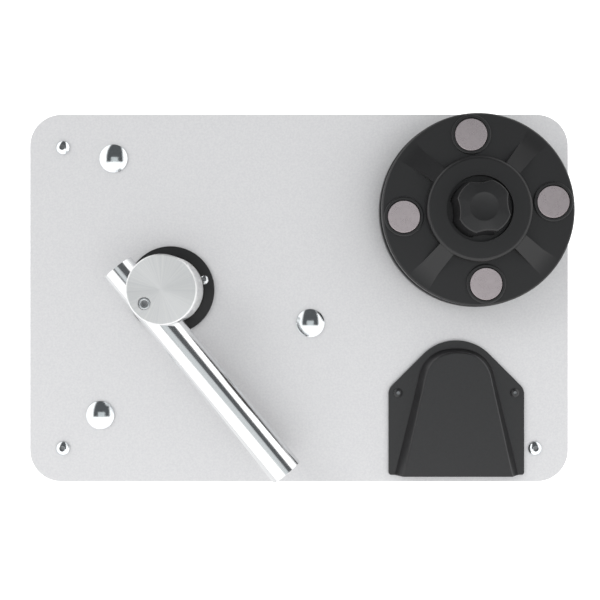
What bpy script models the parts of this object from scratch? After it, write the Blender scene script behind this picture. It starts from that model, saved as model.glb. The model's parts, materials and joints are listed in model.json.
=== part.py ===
"""A record cleaning machine: a metal case with a platter, a suction arm, a waste tank and a turbine.

The machine stands on two foot rails. The origin is in the middle under them, +X runs along the long
side, +Y to the rear and +Z up.
"""

import math

import bmesh
import bpy
from mathutils import Matrix, Vector
from mathutils.geometry import interpolate_bezier

MM = 0.001

# Fits and cuts
GAP = 0.3 * MM  # between two pieces that touch
OVERRUN = 1 * MM  # how far a cutter runs past what it cuts
MERGE = 0.01 * MM
SMOOTH_ANGLE = math.radians(35)

# Facets round a full turn
FINE = 40
ROUND = 24
SMALL = 12
TINY = 8
HEXAGON = 6
CORNER_STEPS = 3

# Metric screws: thread radius, head radius, head height, hexagon socket radius and depth
M3_RADIUS = 1.5 * MM
M3_HEAD_RADIUS = 2.5 * MM
M3_HEAD_HEIGHT = 1.5 * MM
M3_SOCKET_RADIUS = 1.1 * MM
M3_SOCKET_DEPTH = 0.9 * MM
M4_RADIUS = 2 * MM
M4_HEAD_RADIUS = 4 * MM
M4_HEAD_HEIGHT = 2.6 * MM
M4_SOCKET_RADIUS = 1.45 * MM
M4_SOCKET_DEPTH = 1.4 * MM
M6_RADIUS = 3 * MM
M6_DOME_RADIUS = 8 * MM
M6_DOME_HEIGHT = 3.5 * MM
M6_NUT_RADIUS = 5.8 * MM
M6_NUT_HEIGHT = 5 * MM

# Top plate
PLATE_LENGTH = 308 * MM
PLATE_DEPTH = 210 * MM
PLATE_THICKNESS = 4 * MM
PLATE_CORNER = 18 * MM
PLATE_OVERHANG = 10 * MM  # the plate's edge beyond the case

# Case: a body of front, sides and corner posts, a rear panel in its grooves, and a base plate
CASE_HEIGHT = 183 * MM
CASE_WALL = 3 * MM
POST_SIDE = 18 * MM
POST_CORNER = 10 * MM
POST_SCREW_LENGTH = 16 * MM
PANEL_THICKNESS = 2.5 * MM
PANEL_RECESS = 1.5 * MM  # the rear panel's face behind the posts' face
GROOVE_DEPTH = 4 * MM
BASE_THICKNESS = 2 * MM
VENT_LENGTH = 30 * MM
VENT_WIDTH = 3 * MM
VENT_PITCH = 7 * MM
VENT_COUNT = 7
VENT_RISE = 95 * MM  # from the case's lower edge to the middle of the vents
VENT_INSET = 62 * MM  # from the left post to the middle of the rear vents

# Two rubber foot rails with studs that push up into the posts
FOOT_HEIGHT = 10 * MM
FOOT_WIDTH = 14 * MM
FOOT_STUD_LENGTH = 14 * MM  # above the rail

# Arm column, flange and bush
HUB_FROM_MIDDLE = 4.5 * MM  # the arm's axis towards the rear of the plate's middle
FLANGE_RADIUS = 25 * MM
FLANGE_THICKNESS = 2.5 * MM
FLANGE_SCREW_CIRCLE = 20.15 * MM
FLANGE_SCREW_ANGLE = math.radians(16.7)
FLANGE_SCREW_COUNT = 3
FLANGE_SCREW_LENGTH = 6 * MM
COLUMN_RADIUS = 9 * MM
COLUMN_BORE = 7.5 * MM
COLUMN_RISE = 20 * MM  # above the plate
COLUMN_FOOT_RADIUS = 20 * MM
COLUMN_FOOT_THICKNESS = 3 * MM
BUSH_WALL = 2.7 * MM
BUSH_COLLAR_RADIUS = 16 * MM
BUSH_COLLAR_THICKNESS = 2.2 * MM
BUSH_BELOW_COLUMN = 0.5 * MM

# Suction arm: hub, tube, its end plugs and its pads
HUB_RADIUS = 19 * MM
HUB_HEIGHT = 40.2 * MM
HUB_CHAMFER = 0.7 * MM
HUB_ROOF = 2 * MM  # free height over the bush
TUBE_RADIUS = 9.15 * MM
TUBE_WALL = 1.5 * MM
TUBE_HEADING = math.radians(-50.45)
TUBE_OFFSET = 11.7 * MM  # from the hub's axis to the tube's, on the clockwise side
TUBE_AHEAD = 118.7 * MM
TUBE_BEHIND = 25 * MM
TUBE_UNDER_HUB_TOP = 12.5 * MM  # from the hub's top to the tube's axis
TUBE_PLUG_THICKNESS = 3 * MM
TUBE_PLUG_RECESS = 0.5 * MM
SLOT_WIDTH = 2.5 * MM
SLOT_START = 34 * MM
SLOT_FROM_END = 6 * MM
PAD_WIDTH = 4 * MM
PAD_DEPTH = 2.4 * MM  # below the tube's lowest line
PORT_RADIUS = 3 * MM
PORT_OFFSET = 8.4 * MM
HUB_SCREW_HEAD_RADIUS = 3.1 * MM
HUB_SCREW_HEAD_HEIGHT = 1.7 * MM

# Spindle, platter and drive
SPINDLE_FROM_RIGHT = 55.9 * MM
SPINDLE_FROM_REAR = 56.5 * MM
PLATTER_RADIUS = 53.5 * MM
PLATTER_THICKNESS = 6 * MM
PLATTER_HUB_RADIUS = 14 * MM
PLATTER_HUB_HEIGHT = 8.6 * MM
MAT_RADIUS = 50 * MM
MAT_THICKNESS = 1.5 * MM
SHAFT_RADIUS = 5 * MM
PIN_RADIUS = 3.6 * MM
PIN_ROUNDING = 1.2 * MM
BEARING_WALL = 3.7 * MM
BEARING_FLANGE_RADIUS = 15 * MM
BEARING_FLANGE_THICKNESS = 3 * MM
GEAR_MODULE = 1.25 * MM
GEAR_TEETH = 48
PINION_TEETH = 16
GEAR_THICKNESS = 8 * MM
GEAR_BACKLASH = 0.45 * MM
ADDENDUM_SHARE = 0.9
DEDENDUM_SHARE = 1.25
PRESSURE_ANGLE = math.radians(20)
TOOTH_STEPS = 2
MOTOR_SHAFT_RADIUS = 3 * MM

# Gear motor and the C-shaped bracket that hangs under the plate
BRACKET_THICKNESS = 3 * MM
BRACKET_WIDTH = 32 * MM
BRACKET_DROP = 3 * MM  # free height between the gear and the bracket's lower arm
BRACKET_SIDE = 3 * MM  # free width between the gear and the bracket's wall
BRACKET_ARM = 16 * MM  # the upper arm past the spindle's axis
BRACKET_REACH = 14 * MM  # the lower arm past the motor's axis
BEARING_NUT_RADIUS = 13 * MM
BEARING_NUT_HEIGHT = 4 * MM
BEARING_STAND = 0.7 * MM  # the bearing's end past its nut
GEAR_AIR = 1 * MM  # between the bearing's end and the gear
GEARBOX_RADIUS = 20 * MM
GEARBOX_HEIGHT = 28 * MM
GEARBOX_BOSS_RADIUS = 6 * MM
MOTOR_RADIUS = 17 * MM
MOTOR_HEIGHT = 45 * MM
MOTOR_SHAFT_DEPTH = 12 * MM

# Record clamp
CLAMP_RADIUS = 52.8 * MM
CLAMP_ANGLE = math.radians(5.7)
CLAMP_THICKNESS = 6.4 * MM
CLAMP_RIM_CHAMFER = 0.8 * MM
CLAMP_BOSS_DEPTH = 1.6 * MM  # how far the underside's middle stands below the rim
SEAL_WIDTH = 5.5 * MM
SEAL_INSET = 2 * MM
SEAL_THICKNESS = 2 * MM
COLLAR_HEIGHT = 6 * MM
COLLAR_RADIUS = 28.8 * MM
COLLAR_CHAMFER = 2 * MM
RECESS_RADIUS = 18.1 * MM
RECESS_DEPTH = 4 * MM
MAGNET_COUNT = 4
MAGNET_CIRCLE = 41 * MM
MAGNET_RADIUS = 8.9 * MM
MAGNET_THICKNESS = 4.7 * MM
MAGNET_RIM_WIDTH = 1.7 * MM
MAGNET_RIM_HEIGHT = 1.2 * MM
MAGNET_BELOW_RIM = 0.3 * MM
RAMP_END_RADIUS = 42.3 * MM
RAMP_INNER_WIDTH = 9.4 * MM
RAMP_OUTER_WIDTH = 10.9 * MM
KNOB_RADIUS = 14.8 * MM
KNOB_FLARE = 1.4 * MM
KNOB_HEIGHT = 17.4 * MM
KNOB_EDGE = 0.8 * MM
KNOB_SCALLOPS = 4
KNOB_SCALLOP_DEPTH = 2.4 * MM
KNOB_SCALLOP_RADIUS = 20 * MM
KNOB_DISH_RADIUS = 7.3 * MM
KNOB_DISH_DEPTH = 0.7 * MM

# Waste tank on its three long bolts
TANK_SHARE = 66 / 95  # the rim's radius over half the case's depth
TANK_RIM_WIDTH = 4 * MM
TANK_FROM_WALL = 1.7 * MM  # between the rim and the case's left wall
TANK_RIM_HEIGHT = 3 * MM
TANK_WALL = 2.5 * MM
TANK_FLOOR = 3 * MM
GASKET_THICKNESS = 2 * MM
LID_THICKNESS = 4 * MM
BOLTS_FROM_TANK = 16 * MM  # the bolts' axes outside the rim
BOLT_ANGLES = (math.radians(113.5), math.radians(-13.3), math.radians(240.6))
HOSE_RADIUS = 10 * MM
HOSE_WALL = 1.5 * MM
TANK_PORT_LENGTH = 9 * MM  # past the tank's outer face
TANK_PORT_ANGLE = math.radians(12)
TANK_PORT_DROP = 22 * MM  # from the rim to the port's axis
DRAIN_RADIUS = 4 * MM
DRAIN_BORE = 2.5 * MM
DRAIN_RISE = 7 * MM  # from the tank's underside to the drain's axis

# Level tube on the left side
LEVEL_TUBE_RADIUS = 3.5 * MM
LEVEL_TUBE_BORE = 2.3 * MM
LEVEL_TUBE_LENGTH = 122 * MM
LEVEL_TUBE_STANDOFF = 5.6 * MM  # from the case's side to the tube's axis
DRAIN_BLOCK_WIDTH = 8 * MM
DRAIN_BLOCK_RISE = 6 * MM  # below and above the drain's axis
SPIGOT_RADIUS = 2 * MM
SPIGOT_BORE = 1.2 * MM
SPIGOT_LENGTH = 6 * MM
HOLDER_THICKNESS = 1.6 * MM
HOLDER_HEIGHT = 8 * MM  # of the ring round the tube
HOLDER_MOUTH = math.radians(80)
HOLDER_STUD_RADIUS = 1.8 * MM
HOLDER_FROM_TOP = 12 * MM  # from the tube's top to the middle of the ring
STOPPER_HEAD_RADIUS = 4.2 * MM
STOPPER_HEAD_HEIGHT = 5 * MM

# Turbine, its duct and the exhaust hood
TURBINE_FROM_HOOD = 4 * MM  # the turbine's axis left of the hood's
TURBINE_FROM_MIDDLE = 27 * MM  # its axis towards the front of the plate's middle
TURBINE_MOTOR_RADIUS = 27 * MM
TURBINE_MOTOR_HEIGHT = 70 * MM
TURBINE_SHAFT_RADIUS = 4 * MM
TURBINE_SHAFT_DEPTH = 15 * MM
CASING_RADIUS = 42 * MM
CASING_HEIGHT = 27 * MM
CASING_WALL = 2 * MM
COVER_THICKNESS = 2 * MM
INLET_COLLAR_HEIGHT = 13 * MM
DUCT_RADIUS = 12 * MM
DUCT_WALL = 1.5 * MM
DUCT_FROM_TURBINE = 28 * MM  # the duct's axis in front of the turbine's
FAN_RADIUS = 37 * MM
FAN_DISC_THICKNESS = 2 * MM
FAN_BLADE_HEIGHT = 13 * MM
FAN_BLADE_THICKNESS = 1.6 * MM
FAN_BLADE_COUNT = 9
FAN_BLADE_SWEEP = math.radians(25)
FAN_HUB_RADIUS = 9 * MM
FAN_AIR = 2 * MM  # between the fan and the casing's floor
HOSE_LEAD = 46 * MM
HOSE_STRAIGHT = 4 * MM  # at each end
HOSE_STEPS = 16

HOOD_FROM_RIGHT = 64.2 * MM
HOOD_FROM_FRONT = 4.1 * MM
HOOD_HALF_WIDTH = 38.65 * MM
HOOD_DEPTH = 76.7 * MM
HOOD_APEX_RADIUS = 26.5 * MM
HOOD_FLANGE_THICKNESS = 1.8 * MM
HOOD_CORNER = 2.5 * MM
HOOD_FRONT_CORNER = 1.5 * MM
HOOD_WALL = 1.6 * MM
SCOOP_HEIGHT = 9 * MM
SCOOP_MOUTH_HALF_WIDTH = 36.3 * MM
SCOOP_SHOULDER_HALF_WIDTH = 22.4 * MM
SCOOP_SHOULDER_DEPTH = 56.4 * MM
SCOOP_DEPTH = 72.7 * MM
SCOOP_TOP_MOUTH_HALF_WIDTH = 30.9 * MM
SCOOP_TOP_SHOULDER_HALF_WIDTH = 18.7 * MM
SCOOP_TOP_SHOULDER_DEPTH = 55.5 * MM
SCOOP_TOP_DEPTH = 70.2 * MM
SCOOP_HANDLE_SHARE = 0.6
SCOOP_ARC_STEPS = 7
HOOD_SCREW_SIDE = 33.3 * MM
HOOD_SCREW_DEPTH = 46.8 * MM
HOOD_SCREW_LENGTH = 6 * MM

# Rear power inlet
INLET_FROM_RIGHT = 54 * MM
INLET_RISE = 33 * MM  # from the case's lower edge to the inlet's middle
INLET_WIDTH = 27 * MM
INLET_HEIGHT = 20 * MM
INLET_BODY_DEPTH = 20 * MM
INLET_FLANGE_WIDTH = 31 * MM
INLET_FLANGE_HEIGHT = 24 * MM
INLET_FLANGE_THICKNESS = 2.5 * MM
INLET_RECESS_WIDTH = 22.6 * MM
INLET_RECESS_HEIGHT = 15.6 * MM
INLET_RECESS_DEPTH = 17 * MM
INLET_CORNER = 2 * MM
INLET_PIN_LENGTH = 10 * MM
INLET_PIN_WIDTH = 2 * MM
INLET_PIN_HEIGHT = 4 * MM
INLET_PIN_SIDE = 7 * MM
INLET_PIN_DROP = 2 * MM

# Two rocker switches on the front
SWITCH_FROM_RIGHT = 116 * MM  # to the middle of the pair
SWITCH_PITCH = 20 * MM
SWITCH_BELOW_PLATE = 36 * MM
SWITCH_WIDTH = 15 * MM
SWITCH_HEIGHT = 24 * MM
SWITCH_DEPTH = 17 * MM
SWITCH_WALL = 1.4 * MM
SWITCH_FLANGE_RIM = 2 * MM
SWITCH_FLANGE_THICKNESS = 2 * MM
SWITCH_CORNER = 1.5 * MM
ROCKER_RISE = 1.8 * MM  # the rocker's raised ends beyond the flange
ROCKER_DIP = 1.9 * MM
ROCKER_PIVOT_DEPTH = 1.2 * MM  # the pivot behind the flange's face
ROCKER_PIN_RADIUS = 1.2 * MM
ROCKER_PIN_REACH = 0.8 * MM  # into the housing's wall
ROCKER_TILT = math.radians(9)

# Power board
BOARD_LENGTH = 80 * MM
BOARD_WIDTH = 44 * MM
BOARD_THICKNESS = 1.6 * MM
BOARD_RISE = 6 * MM
BOARD_FROM_RIGHT = 70 * MM
BOARD_FROM_REAR = 62 * MM
BOARD_SUPPORT_RADIUS = 3 * MM
BOARD_SUPPORT_INSET = 5 * MM
TRANSFORMER_LENGTH = 34 * MM
TRANSFORMER_WIDTH = 28 * MM
TRANSFORMER_HEIGHT = 26 * MM
TRANSFORMER_SIDE = 18 * MM
CAPACITOR_RADIUS = 8 * MM
CAPACITOR_HEIGHT = 24 * MM
CAPACITOR_SIDE = -20 * MM

# Heights of the stack, from the table up
BASE_BOTTOM = FOOT_HEIGHT + GAP
BASE_TOP = BASE_BOTTOM + BASE_THICKNESS
CASE_BOTTOM = BASE_TOP + GAP
CASE_TOP = CASE_BOTTOM + CASE_HEIGHT
PLATE_BOTTOM = CASE_TOP + GAP
PLATE_TOP = PLATE_BOTTOM + PLATE_THICKNESS
FLANGE_TOP = PLATE_TOP + GAP + FLANGE_THICKNESS
COLUMN_TOP = PLATE_TOP + COLUMN_RISE
COLLAR_BOTTOM = FLANGE_TOP + GAP
COLLAR_TOP = COLLAR_BOTTOM + BUSH_COLLAR_THICKNESS
BUSH_TOP = COLUMN_TOP - BUSH_BELOW_COLUMN
HUB_BOTTOM = COLLAR_TOP + GAP
HUB_TOP = HUB_BOTTOM + HUB_HEIGHT
HUB_CAVITY_TOP = COLUMN_TOP + HUB_ROOF
TUBE_Z = HUB_TOP - TUBE_UNDER_HUB_TOP
LID_TOP = PLATE_BOTTOM - GAP - COLUMN_FOOT_THICKNESS - GAP
LID_BOTTOM = LID_TOP - LID_THICKNESS
GASKET_BOTTOM = LID_BOTTOM - GAP - GASKET_THICKNESS
TANK_TOP = GASKET_BOTTOM - GAP
TANK_BOTTOM = BASE_TOP + GAP
BEARING_TOP = PLATE_TOP + GAP + BEARING_FLANGE_THICKNESS
PLATTER_BOTTOM = BEARING_TOP + GAP
PLATTER_TOP = PLATTER_BOTTOM + PLATTER_HUB_HEIGHT + PLATTER_THICKNESS
MAT_TOP = PLATTER_TOP + GAP + MAT_THICKNESS
UPPER_ARM_TOP = PLATE_BOTTOM - GAP
UPPER_ARM_BOTTOM = UPPER_ARM_TOP - BRACKET_THICKNESS
BEARING_NUT_BOTTOM = UPPER_ARM_BOTTOM - GAP - BEARING_NUT_HEIGHT
BEARING_BOTTOM = BEARING_NUT_BOTTOM - BEARING_STAND
GEAR_TOP = BEARING_BOTTOM - GEAR_AIR
GEAR_BOTTOM = GEAR_TOP - GEAR_THICKNESS
BRACKET_TOP = GEAR_BOTTOM - BRACKET_DROP
BRACKET_BOTTOM = BRACKET_TOP - BRACKET_THICKNESS
SHAFT_BOTTOM = BRACKET_BOTTOM - OVERRUN
SEAL_BOTTOM = MAT_TOP + GAP
CLAMP_BOTTOM = SEAL_BOTTOM + SEAL_THICKNESS + GAP
CLAMP_TOP = CLAMP_BOTTOM + CLAMP_THICKNESS
CLAMP_COLLAR_TOP = CLAMP_TOP + COLLAR_HEIGHT
RECESS_FLOOR = CLAMP_COLLAR_TOP - RECESS_DEPTH
PIN_TOP = RECESS_FLOOR - GAP
KNOB_BOTTOM = RECESS_FLOOR + GAP
KNOB_TOP = KNOB_BOTTOM + KNOB_HEIGHT
TURBINE_MOTOR_TOP = BASE_TOP + GAP + TURBINE_MOTOR_HEIGHT
CASING_BOTTOM = TURBINE_MOTOR_TOP + GAP
CASING_TOP = CASING_BOTTOM + CASING_HEIGHT
COVER_BOTTOM = CASING_TOP + GAP
COVER_TOP = COVER_BOTTOM + COVER_THICKNESS
HOOD_BOTTOM = PLATE_TOP + GAP
DRAIN_Z = TANK_BOTTOM + DRAIN_RISE
LEVEL_TUBE_BOTTOM = DRAIN_Z + DRAIN_BLOCK_RISE + GAP
LEVEL_TUBE_TOP = LEVEL_TUBE_BOTTOM + LEVEL_TUBE_LENGTH
SWITCH_Z = PLATE_BOTTOM - SWITCH_BELOW_PLATE
INLET_Z = CASE_BOTTOM + INLET_RISE
VENT_Z = CASE_BOTTOM + VENT_RISE
BOARD_BOTTOM = BASE_TOP + BOARD_RISE

# Places on the plate, seen from above
RIGHT = PLATE_LENGTH / 2
REAR = PLATE_DEPTH / 2
CASE_X = RIGHT - PLATE_OVERHANG
CASE_Y = REAR - PLATE_OVERHANG
POST_X = CASE_X - POST_SIDE / 2
POST_Y = CASE_Y - POST_SIDE / 2
TANK_RIM_RADIUS = CASE_Y * TANK_SHARE
TANK_RADIUS = TANK_RIM_RADIUS - TANK_RIM_WIDTH
BOLT_CIRCLE = TANK_RIM_RADIUS + BOLTS_FROM_TANK
HUB = Vector((CASE_WALL + TANK_FROM_WALL + TANK_RIM_RADIUS - CASE_X, HUB_FROM_MIDDLE))
SPINDLE = Vector((RIGHT - SPINDLE_FROM_RIGHT, REAR - SPINDLE_FROM_REAR))
HOOD = Vector((RIGHT - HOOD_FROM_RIGHT, HOOD_FROM_FRONT - REAR))
TURBINE = Vector((HOOD.x - TURBINE_FROM_HOOD, -TURBINE_FROM_MIDDLE))
DUCT = Vector((HOOD.x, TURBINE.y - DUCT_FROM_TURBINE))
BOARD = Vector((RIGHT - BOARD_FROM_RIGHT, REAR - BOARD_FROM_REAR))
GEAR_RADIUS = GEAR_MODULE * GEAR_TEETH / 2
PINION_RADIUS = GEAR_MODULE * PINION_TEETH / 2
MOTOR = SPINDLE - Vector((GEAR_RADIUS + PINION_RADIUS, 0))
PANEL_FACE_Y = CASE_Y - PANEL_RECESS
LEVEL_TUBE_REACH = CASE_X + LEVEL_TUBE_STANDOFF


def clear_scene():
    for obj in list(bpy.data.objects):
        bpy.data.objects.remove(obj)


def collection(name):
    made = bpy.data.collections.new(name)
    bpy.context.scene.collection.children.link(made)
    return made


clear_scene()
MACHINE = collection("record_cleaning_machine")
CUTTERS = collection("cutters")


def ring(radius, count, centre=(0, 0), start=0.0):
    """Points round a circle."""
    turns = [start + 2 * math.pi * step / count for step in range(count)]
    return [(centre[0] + radius * math.cos(a), centre[1] + radius * math.sin(a)) for a in turns]


def arc(centre, radius, start, end, steps):
    """Points along an arc, both ends included."""
    turns = [start + (end - start) * step / steps for step in range(steps + 1)]
    return [(centre[0] + radius * math.cos(a), centre[1] + radius * math.sin(a)) for a in turns]


def rounded(corners, radii):
    """A closed outline whose corners are rounded, each by its own radius."""
    outline = []
    for index, corner in enumerate(corners):
        here = Vector(corner)
        before = (Vector(corners[index - 1]) - here).normalized()
        after = (Vector(corners[(index + 1) % len(corners)]) - here).normalized()
        radius = radii[index]
        if radius == 0:
            outline.append(tuple(here))
            continue
        half = before.angle(after) / 2
        centre = here + (before + after).normalized() * radius / math.sin(half)
        start = here + before * radius / math.tan(half) - centre
        end = here + after * radius / math.tan(half) - centre
        turn = math.atan2(start.x * end.y - start.y * end.x, start.dot(end))
        first = math.atan2(start.y, start.x)
        outline += arc(centre, radius, first, first + turn, CORNER_STEPS)
    return outline


def rectangle(width, height, corner=0.0, centre=(0, 0)):
    x = width / 2
    y = height / 2
    corners = [(x, y), (-x, y), (-x, -y), (x, -y)]
    moved = [(centre[0] + px, centre[1] + py) for px, py in corners]
    return rounded(moved, [corner] * len(corners))


def evaluated_mesh(obj):
    """The mesh that an object shows, with its modifiers, in its own coordinates."""
    bpy.context.view_layer.update()
    graph = bpy.context.evaluated_depsgraph_get()
    return bpy.data.meshes.new_from_object(obj.evaluated_get(graph))


def mesh_object(name, bm):
    mesh = bpy.data.meshes.new(name)
    bmesh.ops.recalc_face_normals(bm, faces=bm.faces)
    bm.to_mesh(mesh)
    bm.free()
    mesh.shade_smooth()
    mesh.set_sharp_from_angle(angle=SMOOTH_ANGLE)
    obj = bpy.data.objects.new(name, mesh)
    MACHINE.objects.link(obj)
    return obj


def slab(name, outline, bottom, top, holes=()):
    """A flat outline with its holes, as thick as bottom to top."""
    curve = bpy.data.curves.new(name, "CURVE")
    curve.dimensions = "2D"
    curve.fill_mode = "BOTH"
    curve.extrude = (top - bottom) / 2
    for loop in (outline, *holes):
        spline = curve.splines.new("POLY")
        spline.points.add(len(loop) - 1)
        for point, (x, y) in zip(spline.points, loop):
            point.co = (x, y, 0, 1)
        spline.use_cyclic_u = True
    source = bpy.data.objects.new(name, curve)
    MACHINE.objects.link(source)
    bm = bmesh.new()
    bm.from_mesh(evaluated_mesh(source))
    bpy.data.objects.remove(source)
    bmesh.ops.remove_doubles(bm, verts=bm.verts, dist=MERGE)
    bmesh.ops.translate(bm, verts=bm.verts, vec=(0, 0, (bottom + top) / 2))
    return mesh_object(name, bm)


def turned(name, profile, segments=ROUND):
    """A profile of (radius, height) points turned about Z: down its outer side, then up its inner side."""
    count = len(profile)
    on_axis = profile[0][0] == 0 and profile[-1][0] == 0
    edges = [(index, index + 1) for index in range(count - 1)]
    if not on_axis:
        edges.append((count - 1, 0))
    mesh = bpy.data.meshes.new(name)
    mesh.from_pydata([(radius, 0, height) for radius, height in profile], edges, [])
    obj = bpy.data.objects.new(name, mesh)
    MACHINE.objects.link(obj)
    screw = obj.modifiers.new("Turn", "SCREW")
    screw.steps = segments
    screw.render_steps = segments
    screw.use_merge_vertices = True
    screw.merge_threshold = MERGE
    return obj


def rod(name, radius, bottom, top, centre=(0, 0), segments=SMALL):
    bm = bmesh.new()
    bmesh.ops.create_cone(
        bm,
        cap_ends=True,
        segments=segments,
        radius1=radius,
        radius2=radius,
        depth=top - bottom,
        matrix=Matrix.Translation((*centre, (bottom + top) / 2)),
    )
    return mesh_object(name, bm)


def block(name, low, high):
    """A box between two corners."""
    low = Vector(low)
    size = Vector(high) - low
    bm = bmesh.new()
    matrix = Matrix.Translation(low + size / 2) @ Matrix.Diagonal((*size, 1))
    bmesh.ops.create_cube(bm, size=1, matrix=matrix)
    return mesh_object(name, bm)


def loft(name, loops):
    """A solid through loops of as many points each, from the lowest to the highest."""
    bm = bmesh.new()
    rows = [[bm.verts.new(point) for point in loop] for loop in loops]
    count = len(rows[0])
    for lower, upper in zip(rows, rows[1:]):
        for index in range(count):
            following = (index + 1) % count
            bm.faces.new((lower[index], lower[following], upper[following], upper[index]))
    bm.faces.new(rows[0][::-1])
    bm.faces.new(rows[-1])
    return mesh_object(name, bm)


def boolean(target, tool, operation):
    modifier = target.modifiers.new(operation.title(), "BOOLEAN")
    modifier.operation = operation
    modifier.object = tool
    modifier.solver = "EXACT"
    MACHINE.objects.unlink(tool)
    CUTTERS.objects.link(tool)
    tool.hide_render = True
    tool.display_type = "WIRE"
    return target


def cut(target, *tools):
    for tool in tools:
        boolean(target, tool, "DIFFERENCE")
    return target


def fuse(target, *tools):
    for tool in tools:
        boolean(target, tool, "UNION")
    return target


def copies(name, source, matrices):
    """One object that holds a copy of the source at each matrix."""
    mesh = evaluated_mesh(source)
    tools = [modifier.object for modifier in source.modifiers if modifier.type == "BOOLEAN"]
    bm = bmesh.new()
    for matrix in matrices:
        placed = mesh.copy()
        placed.transform(matrix)
        bm.from_mesh(placed)
    for obj in (source, *tools):
        bpy.data.objects.remove(obj)
    return mesh_object(name, bm)


def repeat(name, source, matrices):
    """One object for each matrix, all with the source's mesh."""
    mesh = copies(name, source, [Matrix()]).data
    bpy.data.objects.remove(bpy.data.objects[name])
    made = []
    for index, matrix in enumerate(matrices, 1):
        obj = bpy.data.objects.new(f"{name}_{index}", mesh.copy())
        MACHINE.objects.link(obj)
        obj.matrix_world = matrix
        made.append(obj)
    return made


def at(x, y, z=0.0):
    return Matrix.Translation((x, y, z))


def turn(angle, axis="Z"):
    return Matrix.Rotation(angle, 4, axis)


def facing(heading):
    """Stands a flat piece up: its Z runs outward along the heading, its Y runs up."""
    outward = Vector((math.cos(heading), math.sin(heading), 0))
    up = Vector((0, 0, 1))
    across = up.cross(outward)
    return Matrix((across, up, outward)).transposed().to_4x4()


def lying(heading):
    """Lays a turned piece down: its Z runs along the heading and its Y stays level."""
    return turn(heading) @ turn(math.pi / 2, "Y")


FRONT = facing(-math.pi / 2)
BACK = facing(math.pi / 2)
RIGHT_SIDE = facing(0)
CORNERS = [(sx, sy) for sx in (-1, 1) for sy in (-1, 1)]


def colour_of(code):
    """A colour code such as 808080, as linear light."""
    values = [int(code[index : index + 2], 16) / 255 for index in (0, 2, 4)]
    return [v / 12.92 if v <= 0.04045 else ((v + 0.055) / 1.055) ** 2.4 for v in values]


def paint(obj, code, roughness, metallic=0.0):
    made = bpy.data.materials.new(obj.name)
    made.use_nodes = True
    shader = made.node_tree.nodes["Principled BSDF"]
    shader.inputs["Base Color"].default_value = (*colour_of(code), 1)
    shader.inputs["Roughness"].default_value = roughness
    shader.inputs["Metallic"].default_value = metallic
    obj.data.materials.clear()
    obj.data.materials.append(made)
    return obj


def steel(obj):
    return paint(obj, "C9CCCE", 0.25, 1.0)


def aluminium(obj):
    return paint(obj, "DADBDC", 0.35, 1.0)


def black_metal(obj):
    return paint(obj, "2C2C2D", 0.45, 0.4)


def black_plastic(obj):
    return paint(obj, "2A2A2B", 0.5)


def rubber(obj):
    return paint(obj, "1E1E1F", 0.85)


def pivot(name, x, y, z=0.0, angle=0.0, parent=None):
    empty = bpy.data.objects.new(name, None)
    MACHINE.objects.link(empty)
    empty.location = (x, y, z)
    empty.rotation_euler.z = angle
    empty.parent = parent
    return empty


def cap_screw(name, radius, head_radius, head_height, length, socket_radius, socket_depth):
    """A screw with a low round head and a hexagon socket; the head's underside is at height 0."""
    shoulder = head_height / 2
    profile = [
        (0, head_height),
        (head_radius - shoulder, head_height),
        (head_radius, shoulder),
        (head_radius, 0),
        (radius, 0),
        (radius, -length),
        (0, -length),
    ]
    screw = turned(name, profile, TINY)
    floor = head_height - socket_depth
    socket = rod("socket", socket_radius, floor, head_height + OVERRUN, segments=HEXAGON)
    return cut(screw, socket)


def m4_screw(name, length):
    return cap_screw(
        name, M4_RADIUS, M4_HEAD_RADIUS, M4_HEAD_HEIGHT, length, M4_SOCKET_RADIUS, M4_SOCKET_DEPTH
    )


def m3_screw(name, length):
    return cap_screw(
        name, M3_RADIUS, M3_HEAD_RADIUS, M3_HEAD_HEIGHT, length, M3_SOCKET_RADIUS, M3_SOCKET_DEPTH
    )


def bolt_places():
    return [HUB + Vector((math.cos(a), math.sin(a))) * BOLT_CIRCLE for a in BOLT_ANGLES]


def flange_screw_places():
    return ring(FLANGE_SCREW_CIRCLE, FLANGE_SCREW_COUNT, HUB, FLANGE_SCREW_ANGLE)


def hood_screw_places():
    return [(HOOD.x + side * HOOD_SCREW_SIDE, HOOD.y + HOOD_SCREW_DEPTH) for side in (-1, 1)]


def make_top_plate():
    holes = [ring(M4_RADIUS + GAP, TINY, (sx * POST_X, sy * POST_Y)) for sx, sy in CORNERS]
    holes += [ring(M6_RADIUS + GAP, TINY, place) for place in bolt_places()]
    holes += [ring(M3_RADIUS + GAP, TINY, place) for place in flange_screw_places()]
    holes += [ring(M3_RADIUS + GAP, TINY, place) for place in hood_screw_places()]
    holes.append(ring(COLUMN_RADIUS + GAP, ROUND, HUB))
    holes.append(ring(SHAFT_RADIUS + GAP + BEARING_WALL + GAP, ROUND, SPINDLE))
    holes.append(ring(DUCT_RADIUS - DUCT_WALL, ROUND, DUCT))
    outline = rectangle(PLATE_LENGTH, PLATE_DEPTH, PLATE_CORNER)
    plate = slab("top_plate", outline, PLATE_BOTTOM, PLATE_TOP, holes)
    paint(plate, "D9D9DA", 0.5, 0.6)


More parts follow.
